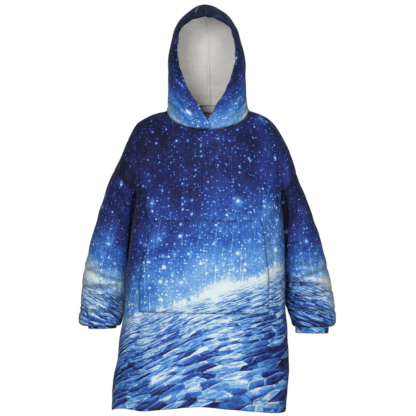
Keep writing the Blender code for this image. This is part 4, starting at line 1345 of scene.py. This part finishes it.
def stitch_tree(thread):
    """Geometry nodes that lay short rounded stitches along the edges of a path."""
    tree = bpy.data.node_groups.new("stitches along a path", "GeometryNodeTree")
    tree.interface.new_socket("Path", in_out="INPUT", socket_type="NodeSocketGeometry")
    for name, value in STITCH_SIZES:
        socket = tree.interface.new_socket(name, in_out="INPUT", socket_type="NodeSocketFloat")
        socket.default_value = value
    tree.interface.new_socket("Stitches", in_out="OUTPUT", socket_type="NodeSocketGeometry")
    add = tree.nodes.new
    link = tree.links.new
    entry, exit_node = add("NodeGroupInput"), add("NodeGroupOutput")
    curve, resample = add("GeometryNodeMeshToCurve"), add("GeometryNodeResampleCurve")
    resample.mode = "LENGTH"
    sphere = add("GeometryNodeMeshUVSphere")
    sphere.inputs["Segments"].default_value = 6
    sphere.inputs["Rings"].default_value = 4
    sphere.inputs["Radius"].default_value = 0.5
    size = add("ShaderNodeCombineXYZ")
    instance = add("GeometryNodeInstanceOnPoints")
    tangent = add("GeometryNodeInputTangent")
    facing = add("GeometryNodeInputNamedAttribute")
    facing.data_type = "FLOAT_VECTOR"
    facing.inputs["Name"].default_value = "cloth_normal"
    along = add("FunctionNodeAlignRotationToVector")
    along.axis = "X"
    upright = add("FunctionNodeAlignRotationToVector")
    upright.axis = "Z"
    upright.pivot_axis = "X"
    realize, paint = add("GeometryNodeRealizeInstances"), add("GeometryNodeSetMaterial")
    paint.inputs["Material"].default_value = thread
    link(entry.outputs["Path"], curve.inputs["Mesh"])
    link(curve.outputs["Curve"], resample.inputs["Curve"])
    link(entry.outputs["Pitch"], resample.inputs["Length"])
    link(resample.outputs["Curve"], instance.inputs["Points"])
    link(sphere.outputs["Mesh"], instance.inputs["Instance"])
    link(tangent.outputs["Tangent"], along.inputs["Vector"])
    link(along.outputs["Rotation"], upright.inputs["Rotation"])
    link(facing.outputs["Attribute"], upright.inputs["Vector"])
    link(upright.outputs["Rotation"], instance.inputs["Rotation"])
    link(entry.outputs["Stitch Length"], size.inputs["X"])
    link(entry.outputs["Stitch Width"], size.inputs["Y"])
    link(entry.outputs["Stitch Width"], size.inputs["Z"])
    link(size.outputs["Vector"], instance.inputs["Scale"])
    link(instance.outputs["Instances"], realize.inputs["Geometry"])
    link(realize.outputs["Geometry"], paint.inputs["Geometry"])
    link(paint.outputs["Geometry"], exit_node.inputs["Stitches"])
    return tree


def build_stitches(name, paths, tree):
    """One plain mesh of all the stitches along some paths."""
    points, edges, normals = [], [], []
    for spots, ways in paths:
        first = len(points)
        points += spots.tolist()
        normals += ways.tolist()
        edges += [(first + i, first + i + 1) for i in range(len(spots) - 1)]
    mesh = bpy.data.meshes.new(name)
    mesh.from_pydata(points, edges, [])
    layer = mesh.attributes.new("cloth_normal", "FLOAT_VECTOR", "POINT")
    layer.data.foreach_set("vector", np.array(normals, dtype=np.float32).reshape(-1))
    obj = bpy.data.objects.new(name, mesh)
    bpy.context.scene.collection.objects.link(obj)
    modifier = obj.modifiers.new("stitches", "NODES")
    modifier.node_group = tree
    inputs = {item.name: item.identifier for item in tree.interface.items_tree
              if item.item_type == "SOCKET" and item.in_out == "INPUT"}
    for title, value in STITCH_SIZES:
        modifier[inputs[title]] = value
    graph = bpy.context.evaluated_depsgraph_get()
    plain = bpy.data.meshes.new_from_object(obj.evaluated_get(graph), depsgraph=graph)
    obj.modifiers.remove(modifier)
    obj.data = plain
    plain.name = name
    plain.shade_smooth()
    return obj


# Materials
def linear(red, green, blue):
    """A screen colour, 0 to 255, as the linear colour that a shader takes."""
    parts = []
    for value in (red, green, blue):
        value /= 255
        parts.append(value / 12.92 if value <= 0.04045 else ((value + 0.055) / 1.055) ** 2.4)
    return (*parts, 1.0)


class Graph:
    """Short ways to add nodes to a tree; a value is a number, a colour or another node's output."""

    def __init__(self, tree):
        self.tree = tree

    def add(self, kind, inputs=None, **settings):
        node = self.tree.nodes.new(kind)
        for name, value in settings.items():
            setattr(node, name, value)
        for name, value in (inputs or {}).items():
            self.feed(node.inputs[name], value)
        return node

    def feed(self, socket, value):
        if isinstance(value, bpy.types.NodeSocket):
            self.tree.links.new(value, socket)
        else:
            socket.default_value = value

    def math(self, operation, first, second=0.0, third=0.0, clamp=False):
        node = self.add("ShaderNodeMath", {0: first, 1: second, 2: third}, operation=operation)
        node.use_clamp = clamp
        return node.outputs[0]

    def vector(self, operation, first, second):
        return self.add("ShaderNodeVectorMath", {0: first, 1: second}, operation=operation).outputs[0]

    def length(self, vector):
        return self.add("ShaderNodeVectorMath", {0: vector}, operation="LENGTH").outputs["Value"]

    def grey(self, value):
        return self.add("ShaderNodeCombineXYZ", {"X": value, "Y": value, "Z": value}).outputs["Vector"]

    def noise(self, place, scale, detail, roughness=0.5, distortion=0.0):
        """A noise node, whose value runs from 0 to 1."""
        return self.add("ShaderNodeTexNoise", {"Vector": place, "Scale": scale, "Detail": detail,
                                               "Roughness": roughness, "Distortion": distortion})

    def ranged(self, value, low, high, start=0.0, end=1.0, interpolation="SMOOTHSTEP"):
        node = self.add("ShaderNodeMapRange", {"Value": value, "From Min": low, "From Max": high,
                                               "To Min": start, "To Max": end})
        node.interpolation_type = interpolation
        return node.outputs["Result"]

    def ramp(self, value, stops):
        node = self.add("ShaderNodeValToRGB", {"Fac": value})
        elements = node.color_ramp.elements
        while len(elements) < len(stops):
            elements.new(0.5)
        for element, (place, colour) in zip(elements, stops):
            element.position = place
            element.color = colour
        return node.outputs["Color"]

    def blend(self, share, first, second, mode="MIX"):
        node = self.add("ShaderNodeMix", data_type="RGBA", blend_type=mode)
        self.feed(node.inputs[0], share)
        self.feed(node.inputs[6], first)
        self.feed(node.inputs[7], second)
        return node.outputs[2]


def object_place(graph):
    return graph.add("ShaderNodeTexCoord").outputs["Object"]


# The print: stars and falling light over a slanting horizon, with sheets of broken ice below
PRINT_STOPS = (
    (0.00, linear(8, 10, 34)),
    (0.18, linear(20, 24, 72)),
    (0.34, linear(28, 46, 112)),
    (0.50, linear(36, 82, 150)),
    (0.66, linear(70, 117, 170)),
    (0.82, linear(106, 144, 174)),
    (1.00, linear(172, 182, 184)),
)
HORIZON_SLOPE = (-0.316, 0.949)
HORIZON_HEIGHT = 0.508
GLOW_AT = -0.075
Height = namedtuple("Height", "above light")
SKY = (
    Height(-0.42, 0.38),
    Height(-0.30, 0.44),
    Height(-0.16, 0.49),
    Height(-0.05, 0.56),
    Height(0.00, 0.64),
    Height(0.06, 0.55),
    Height(0.14, 0.40),
    Height(0.24, 0.24),
    Height(0.34, 0.14),
    Height(0.46, 0.11),
    Height(0.60, 0.08),
    Height(0.84, 0.04),
)
Stars = namedtuple("Stars", "per_metre size halo light")
STARS = (
    Stars(110.0, 0.38, 0.56, 0.62),
    Stars(54.0, 0.26, 0.50, 0.70),
    Stars(23.0, 0.14, 0.40, 0.80),
    Stars(8.0, 0.065, 0.30, 0.90),
)
Ice = namedtuple("Ice", "across deep tone edge")
ICE = (
    Ice(6.0, 7.5, 0.62, 0.26),
    Ice(17.0, 19.0, 0.34, 0.10),
)
ICE_OFFSET = 0.10
GLINT_CELLS = 8.0
GLINT_LONG = 150.0
GLINT_THIN = 1300.0

# How much each layer of the print adds, and how fast the glow and the bright line fall away
CLOUD_LIGHT = 0.80
PATCH_LIGHT = 0.8
GRAIN_LIGHT = 0.34
GLOW_LIGHT = 0.34
GLOW_FALL = -9.0
LINE_FALL = -110.0
LINE_IN_GLOW = 0.55
LINE_ELSEWHERE = 0.12
SIDES_DARKER = 0.16


def star_light(graph, place, stars):
    """Round stars, most of them small, each with a soft halo."""
    cells = graph.add("ShaderNodeTexVoronoi", {"Vector": place, "Scale": stars.per_metre},
                      voronoi_dimensions="2D")
    kind = graph.add("ShaderNodeSeparateColor", {"Color": cells.outputs["Color"]})
    size = graph.math("POWER", kind.outputs[0], 3.0)
    size = graph.math("MULTIPLY_ADD", size, stars.size, stars.size * 0.3)
    core = graph.math("SUBTRACT", 1.0, graph.math("DIVIDE", cells.outputs["Distance"], size),
                      clamp=True)
    core = graph.math("POWER", core, 1.4)
    halo = graph.ranged(cells.outputs["Distance"], 0.0, stars.halo, 1.0, 0.0)
    halo = graph.math("MULTIPLY", graph.math("POWER", halo, 2.5), kind.outputs[0])
    light = graph.math("ADD", core, graph.math("MULTIPLY", halo, 0.45), clamp=True)
    shown = graph.ranged(kind.outputs[1], 0.25, 0.95, 0.15, 1.0)
    return graph.math("MULTIPLY", graph.math("MULTIPLY", light, shown), stars.light)


def glint_light(graph, place):
    """A few four-pointed glints."""
    cells = graph.add("ShaderNodeTexVoronoi", {"Vector": place, "Scale": GLINT_CELLS},
                      voronoi_dimensions="2D")
    kind = graph.add("ShaderNodeSeparateColor", {"Color": cells.outputs["Color"]})
    apart = graph.vector("ABSOLUTE", graph.vector("SUBTRACT", place, cells.outputs["Position"]),
                         (0.0, 0.0, 0.0))
    parts = graph.add("ShaderNodeSeparateXYZ", {"Vector": apart})
    across, up = parts.outputs["X"], parts.outputs["Y"]

    def ray(thin, long):
        reach = graph.math("MULTIPLY_ADD", thin, GLINT_THIN, graph.math("MULTIPLY", long, GLINT_LONG))
        return graph.math("EXPONENT", graph.math("MULTIPLY", reach, -1.0))

    rays = graph.math("ADD", ray(across, up), ray(up, across))
    distance = graph.length(apart)
    halo = graph.math("EXPONENT", graph.math("MULTIPLY", distance, -GLINT_LONG))
    light = graph.math("ADD", rays, graph.math("MULTIPLY", halo, 0.7))
    return graph.math("MULTIPLY", light, graph.ranged(kind.outputs[0], 0.55, 0.95))


def ice_light(graph, along, below, ice):
    """Sheets of broken ice on a plane that runs back to the horizon: a tone, darker or lighter."""
    near = graph.math("DIVIDE", 1.0, graph.math("ADD", below, ICE_OFFSET))
    across = graph.math("MULTIPLY", graph.math("MULTIPLY", along, near), ice.across)
    deep = graph.math("MULTIPLY", near, ice.deep)
    plane = graph.add("ShaderNodeCombineXYZ", {"X": across, "Y": deep}).outputs["Vector"]
    cells = graph.add("ShaderNodeTexVoronoi", {"Vector": plane, "Scale": 1.0, "Randomness": 0.9},
                      voronoi_dimensions="2D")
    borders = graph.add("ShaderNodeTexVoronoi", {"Vector": plane, "Scale": 1.0, "Randomness": 0.9},
                        voronoi_dimensions="2D", feature="DISTANCE_TO_EDGE")
    kind = graph.add("ShaderNodeSeparateColor", {"Color": cells.outputs["Color"]})
    lean = graph.add("ShaderNodeSeparateXYZ", {
        "Vector": graph.vector("SUBTRACT", plane, cells.outputs["Position"])})
    slope = graph.math("SUBTRACT", kind.outputs[2], 0.3)
    tone = graph.math("ADD", graph.math("SUBTRACT", kind.outputs[0], 0.5),
                      graph.math("MULTIPLY", lean.outputs["Y"], slope))
    edge = graph.ranged(borders.outputs["Distance"], 0.02, 0.09, 1.0, 0.0)
    edge = graph.math("MULTIPLY", edge, graph.math("SUBTRACT", kind.outputs[1], 0.25))
    return graph.math("ADD", graph.math("MULTIPLY", tone, ice.tone),
                      graph.math("MULTIPLY", edge, ice.edge * 2))


def horizon_level(graph, place, along):
    """How high a place lies above the slanting horizon."""
    up = graph.add("ShaderNodeSeparateXYZ", {"Vector": place}).outputs["Y"]
    slanted = graph.math("MULTIPLY", along, HORIZON_SLOPE[0])
    height = graph.math("MULTIPLY_ADD", up, HORIZON_SLOPE[1], slanted)
    return graph.math("ADD", height, HORIZON_HEIGHT)


def sky_tone(graph, above):
    """The print's main tone, by height above the horizon."""
    low, high = SKY[0].above, SKY[-1].above
    stops = [((row.above - low) / (high - low), (row.light,) * 3 + (1.0,)) for row in SKY]
    base = graph.ramp(graph.ranged(above, low, high, interpolation="LINEAR"), stops)
    base.node.color_ramp.interpolation = "B_SPLINE"
    return base


def centred_noise(graph, place, *settings):
    """Noise that adds as much as it takes away."""
    return graph.math("SUBTRACT", graph.noise(place, *settings).outputs[0], 0.5)


def falling_light(graph, place, above):
    """Thin streaks, brighter near the horizon."""
    stretched = graph.add("ShaderNodeMapping", {"Vector": place, "Rotation": (0.0, 0.0, 0.42),
                                                "Scale": (260.0, 5.0, 1.0)}).outputs["Vector"]
    falls = graph.ranged(graph.noise(stretched, 1.0, 1.0, 0.5).outputs[0], 0.60, 0.78)
    return graph.math("MULTIPLY", falls, graph.ranged(above, 0.55, 0.05, 0.04, 0.30))


def design_group():
    """The printed design as a colour, for a place on it in metres; each metre has its own horizon."""
    tree = bpy.data.node_groups.new("printed design", "ShaderNodeTree")
    tree.interface.new_socket("Place", in_out="INPUT", socket_type="NodeSocketVector")
    tree.interface.new_socket("Colour", in_out="OUTPUT", socket_type="NodeSocketColor")
    graph = Graph(tree)
    entry, exit_node = graph.add("NodeGroupInput"), graph.add("NodeGroupOutput")
    place = entry.outputs["Place"]
    drift = graph.noise(place, 3.1, 3.0).outputs["Color"]
    drift = graph.vector("MULTIPLY", graph.vector("SUBTRACT", drift, (0.5, 0.5, 0.5)), (0.12, 0.12, 0.0))
    warped = graph.vector("ADD", place, drift)
    right = graph.add("ShaderNodeSeparateXYZ", {"Vector": place}).outputs["X"]
    along = graph.math("SUBTRACT", graph.math("FRACT", graph.math("ADD", right, 0.5)), 0.5)

    level = horizon_level(graph, place, along)
    above = horizon_level(graph, warped, along)
    in_sky = graph.ranged(level, -0.010, 0.020)
    below = graph.math("MAXIMUM", graph.math("MULTIPLY", level, -1.0), 0.0)

    sky = graph.math("MULTIPLY", centred_noise(graph, warped, 8.0, 6.0, 0.62, 0.6), CLOUD_LIGHT)
    for part in [falling_light(graph, place, above)] + [star_light(graph, place, row) for row in STARS]:
        sky = graph.math("ADD", sky, part)
    ice = graph.math("MULTIPLY", centred_noise(graph, place, 5.5, 2.0, 0.5), PATCH_LIGHT)
    for row in ICE:
        ice = graph.math("ADD", ice, ice_light(graph, along, below, row))
    detail = graph.add("ShaderNodeMix", {0: in_sky, 2: ice, 3: sky}).outputs[0]

    spot = graph.add("ShaderNodeCombineXYZ", {"X": graph.math("ADD", along, GLOW_AT), "Y": level})
    glow_away = graph.length(spot.outputs["Vector"])
    glow = graph.math("EXPONENT", graph.math("MULTIPLY", glow_away, GLOW_FALL))
    line_away = graph.math("ABSOLUTE", level)
    line = graph.math("EXPONENT", graph.math("MULTIPLY", line_away, LINE_FALL))
    line = graph.math("MULTIPLY", line, graph.math("MULTIPLY_ADD", glow, LINE_IN_GLOW, LINE_ELSEWHERE))

    grain = centred_noise(graph, place, 130.0, 3.0, 0.7)
    value = graph.math("ADD", sky_tone(graph, above), detail)
    value = graph.math("ADD", value, graph.math("MULTIPLY", grain, GRAIN_LIGHT))
    value = graph.math("ADD", value, graph.math("MULTIPLY", glow, GLOW_LIGHT))
    value = graph.math("ADD", value, line)
    aside = graph.ranged(graph.math("ABSOLUTE", along), 0.17, 0.36, 0.0, SIDES_DARKER)
    value = graph.math("SUBTRACT", value, aside)
    value = graph.math("ADD", value, glint_light(graph, place))
    graph.feed(exit_node.inputs["Colour"], graph.ramp(value, PRINT_STOPS))
    return tree


def nap_group():
    """Fine brushed nap over a faint unevenness: a height from 0 to 1."""
    tree = bpy.data.node_groups.new("brushed nap", "ShaderNodeTree")
    for name, value in (("Fibre Scale", 700.0), ("Clump Scale", 160.0), ("Clump Share", 0.4)):
        socket = tree.interface.new_socket(name, in_out="INPUT", socket_type="NodeSocketFloat")
        socket.default_value = value
    tree.interface.new_socket("Height", in_out="OUTPUT", socket_type="NodeSocketFloat")
    graph = Graph(tree)
    entry, exit_node = graph.add("NodeGroupInput"), graph.add("NodeGroupOutput")
    place = object_place(graph)
    fibres = graph.noise(place, entry.outputs["Fibre Scale"], 2.0).outputs[0]
    clumps = graph.noise(place, entry.outputs["Clump Scale"], 3.0, 0.6).outputs[0]
    node = graph.add("ShaderNodeMix", {0: entry.outputs["Clump Share"], 2: fibres, 3: clumps})
    graph.feed(exit_node.inputs["Height"], node.outputs[0])
    return tree


def start_material(name):
    """A new material, with its node graph and its shader."""
    material = bpy.data.materials.new(name)
    material.use_nodes = True
    return material, Graph(material.node_tree), material.node_tree.nodes["Principled BSDF"]


def set_nap(graph, shader, nap, fibre, clump, share, strength, distance):
    """Gives a shader the brushed nap as bump, and returns the nap's height."""
    height = graph.add("ShaderNodeGroup")
    height.node_tree = nap
    height.inputs["Fibre Scale"].default_value = fibre
    height.inputs["Clump Scale"].default_value = clump
    height.inputs["Clump Share"].default_value = share
    bump = graph.add("ShaderNodeBump", {"Strength": strength, "Distance": distance,
                                        "Height": height.outputs["Height"]})
    graph.feed(shader.inputs["Normal"], bump.outputs["Normal"])
    return height.outputs["Height"]


def painted_shade_factor(graph, darkest):
    """A factor that paints shade into the cloth's colour: along seams and stitching, in deep and stacked
    creases, on rims and where a sleeve lies at the body.
    """
    line = graph.add("ShaderNodeAttribute", attribute_name="seam_shade").outputs["Fac"]
    return graph.ranged(line, 0.0, 1.0, 1.0, darkest, "LINEAR")


def printed_fleece(nap):
    """The outer face: the print, a little lighter on the nap's tops, and shade painted into its colour
    along seams, in deep creases and on rims.
    """
    material, graph, shader = start_material("printed_fleece")
    design = graph.add("ShaderNodeGroup")
    design.node_tree = design_group()
    graph.feed(design.inputs["Place"], graph.add("ShaderNodeUVMap", uv_map="design").outputs["UV"])
    colour = design.outputs["Colour"]
    height = set_nap(graph, shader, nap, 760.0, 75.0, 0.55, 0.35, 0.0011)
    # The colour is a little lighter on the nap's tops and darker in its hollows
    nap_tops_lighter = graph.ranged(height, 0.35, 0.65, 0.94, 1.04, "LINEAR")
    # Shade painted into the print's colour from the seam_shade attribute
    shade = graph.math("MULTIPLY", nap_tops_lighter, painted_shade_factor(graph, 0.08))
    graph.feed(shader.inputs["Base Color"], graph.vector("MULTIPLY", colour, graph.grey(shade)))
    graph.feed(shader.inputs["Roughness"], graph.ranged(height, 0.3, 0.7, 0.72, 0.86, "LINEAR"))
    shader.inputs["Specular IOR Level"].default_value = 0.16
    shader.inputs["Sheen Weight"].default_value = 0.03
    shader.inputs["Sheen Roughness"].default_value = 0.45
    return material


def brushed_reverse(nap):
    """The unprinted inner face: off-white, with a short soft pile in faint cross rows."""
    material, graph, shader = start_material("brushed_reverse")
    place = object_place(graph)
    rows = graph.add("ShaderNodeMapping", {"Vector": place, "Scale": (34.0, 34.0, 250.0)})
    bands = graph.noise(rows.outputs["Vector"], 1.0, 3.0, 0.6).outputs[0]
    patches = graph.noise(place, 24.0, 4.0, 0.6).outputs[0]
    tone = graph.math("ADD", graph.math("MULTIPLY", bands, 0.6), graph.math("MULTIPLY", patches, 0.4))
    colour = graph.ramp(tone, ((0.30, linear(168, 166, 162)), (0.70, linear(184, 182, 179))))
    # Shade painted into the colour on rims and along the seams and creases inside the body
    graph.feed(shader.inputs["Base Color"],
               graph.vector("MULTIPLY", colour, graph.grey(painted_shade_factor(graph, 0.2))))
    set_nap(graph, shader, nap, 620.0, 210.0, 0.6, 0.6, 0.0012)
    shader.inputs["Roughness"].default_value = 0.95
    shader.inputs["Specular IOR Level"].default_value = 0.15
    shader.inputs["Sheen Weight"].default_value = 0.30
    shader.inputs["Sheen Roughness"].default_value = 0.6
    return material


def woven_tape():
    """Plain light tape with a fine slanting weave."""
    material, graph, shader = start_material("neck_tape")
    lines = graph.add("ShaderNodeTexWave", {"Vector": object_place(graph), "Scale": 260.0,
                                            "Distortion": 0.4, "Detail": 1.0})
    lines.bands_direction = "DIAGONAL"
    colour = graph.ramp(lines.outputs["Fac"], ((0.0, linear(148, 145, 138)), (1.0, linear(176, 172, 165))))
    graph.feed(shader.inputs["Base Color"], colour)
    bump = graph.add("ShaderNodeBump", {"Strength": 0.5, "Distance": 0.0003,
                                        "Height": lines.outputs["Fac"]})
    graph.feed(shader.inputs["Normal"], bump.outputs["Normal"])
    shader.inputs["Roughness"].default_value = 0.85
    return material


def sewing_thread():
    """Navy thread with its twist."""
    material, graph, shader = start_material("thread")
    twist = graph.add("ShaderNodeTexWave", {"Vector": object_place(graph), "Scale": 900.0,
                                            "Distortion": 1.0})
    twist.bands_direction = "DIAGONAL"
    colour = graph.ramp(twist.outputs["Fac"], ((0.0, linear(26, 34, 84)), (1.0, linear(58, 78, 142))))
    graph.feed(shader.inputs["Base Color"], colour)
    shader.inputs["Roughness"].default_value = 0.5
    return material


# Studio
GARMENT_MIDDLE = (0.0, 0.0, -0.28)
Lamp = namedtuple("Lamp", "name place wide high watts")
LAMPS = (
    Lamp("key", (-1.2, -5.4, 0.7), 1.2, 1.2, 275.0),
    Lamp("fill", (1.9, -5.4, -0.7), 2.0, 2.0, 190.0),
    Lamp("low", (-0.8, -5.6, -1.3), 1.6, 1.6, 60.0),
    Lamp("top", (0.0, -0.6, 3.6), 3.0, 2.0, 30.0),
    Lamp("behind", (0.0, 7.0, -0.1), 0.6, 0.6, 300.0),
)


def add_light(name, place, aim, size, energy):
    """A rectangular lamp that shines at its aim."""
    lamp = bpy.data.lights.new(name, "AREA")
    lamp.shape = "RECTANGLE"
    lamp.size, lamp.size_y = size
    lamp.energy = energy
    obj = bpy.data.objects.new(name, lamp)
    obj.location = place
    obj.rotation_euler = (Vector(aim) - Vector(place)).to_track_quat("-Z", "Y").to_euler()
    bpy.context.scene.collection.objects.link(obj)


def set_lights():
    for lamp in LAMPS:
        add_light(lamp.name, lamp.place, GARMENT_MIDDLE, (lamp.wide, lamp.high), lamp.watts)


def set_studio():
    """White all round for the camera, while the cloth gets only a little light from it."""
    world = bpy.data.worlds.new("studio")
    world.use_nodes = True
    graph = Graph(world.node_tree)
    seen = graph.add("ShaderNodeBackground", {"Color": (1.0, 1.0, 1.0, 1.0), "Strength": 1.0})
    soft = graph.add("ShaderNodeBackground", {"Color": (0.94, 0.97, 1.0, 1.0), "Strength": 0.18})
    camera = graph.add("ShaderNodeLightPath").outputs["Is Camera Ray"]
    both = graph.add("ShaderNodeMixShader", {0: camera, 1: soft.outputs[0], 2: seen.outputs[0]})
    graph.feed(world.node_tree.nodes["World Output"].inputs["Surface"], both.outputs[0])
    bpy.context.scene.world = world


def set_camera():
    """Straight in front with the photo's framing, through a long lens."""
    frame_width = PHOTO_PIXELS * PIXEL
    camera = bpy.data.cameras.new("camera")
    camera.sensor_width = SENSOR * 1000
    camera.lens = CAMERA_DISTANCE * SENSOR / frame_width * 1000
    camera.clip_end = 60.0
    obj = bpy.data.objects.new("camera", camera)
    obj.location = (VIEW_CENTRE_X, -CAMERA_DISTANCE, VIEW_CENTRE_Z)
    obj.rotation_euler = (QUARTER, 0.0, 0.0)
    bpy.context.scene.collection.objects.link(obj)
    bpy.context.scene.camera = obj


# The hoodie
def build_hoodie():
    """Every cut piece by its name, and the seam allowance inside the hood."""
    nap = nap_group()
    cloth = [printed_fleece(nap), brushed_reverse(nap)]
    built, lines = build_sewn_cloth(cloth)
    allowance = build_allowance(built, cloth[1])
    built["cuff_right"] = build_cuff("cuff_right", SLEEVE_RIGHT, CUFF_END_RIGHT, -1, cloth)
    built["cuff_left"] = build_cuff("cuff_left", SLEEVE_LEFT, CUFF_END_LEFT, 1, cloth)
    built["pocket"] = build_pocket(lines, cloth)
    built["neck_tape"] = build_tape(woven_tape())
    return built, allowance


def sew(built):
    """Rows of stitches, each object with the cut piece that it is sewn on."""
    tree = stitch_tree(sewing_thread())
    rows = {}
    for name in ("front", "back"):
        piece = built[name][1]
        rows[name] = [border_path(piece, "start", HEM_WIDTH - gap, 0.01, 0.99)
                      for gap in (0.0, STITCH_ROWS_APART)]
    for name in ("hood_right", "hood_left"):
        piece = built[name][1]
        border = hood_front_border(piece)
        end = (HOOD_CLOSED_FROM - 0.5) * HOOD_ROW_CELLS / (piece.grid.shape[0] - 1)
        rows[name] = [border_path(piece, border, HOOD_HEM_WIDTH, 0.06, end)]
    pocket = built["pocket"][1]
    rows["pocket"] = [border_path(pocket, border, POCKET_STITCH_INSET, 0.015, 0.985)
                      for border in ("start", "end", "first", "last")]
    return {name: build_stitches(name + "_stitches", paths, tree) for name, paths in rows.items()}


def declare(built, allowance, stitches):
    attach(allowance, "root")
    for cut in CUTS:
        obj = built[cut.name][0]
        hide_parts(cut.name)
        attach(obj, "root")
        sewn = [stitches[cut.name]] if cut.name in stitches else []
        for piece in sewn:
            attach(piece, "root")
        if cut.name == "hood_right":
            sewn.append(allowance)


hoodie, seam_allowance = build_hoodie()
declare(hoodie, seam_allowance, sew(hoodie))
set_lights()
set_studio()
set_camera()
bpy.context.scene.view_settings.view_transform = "Standard"
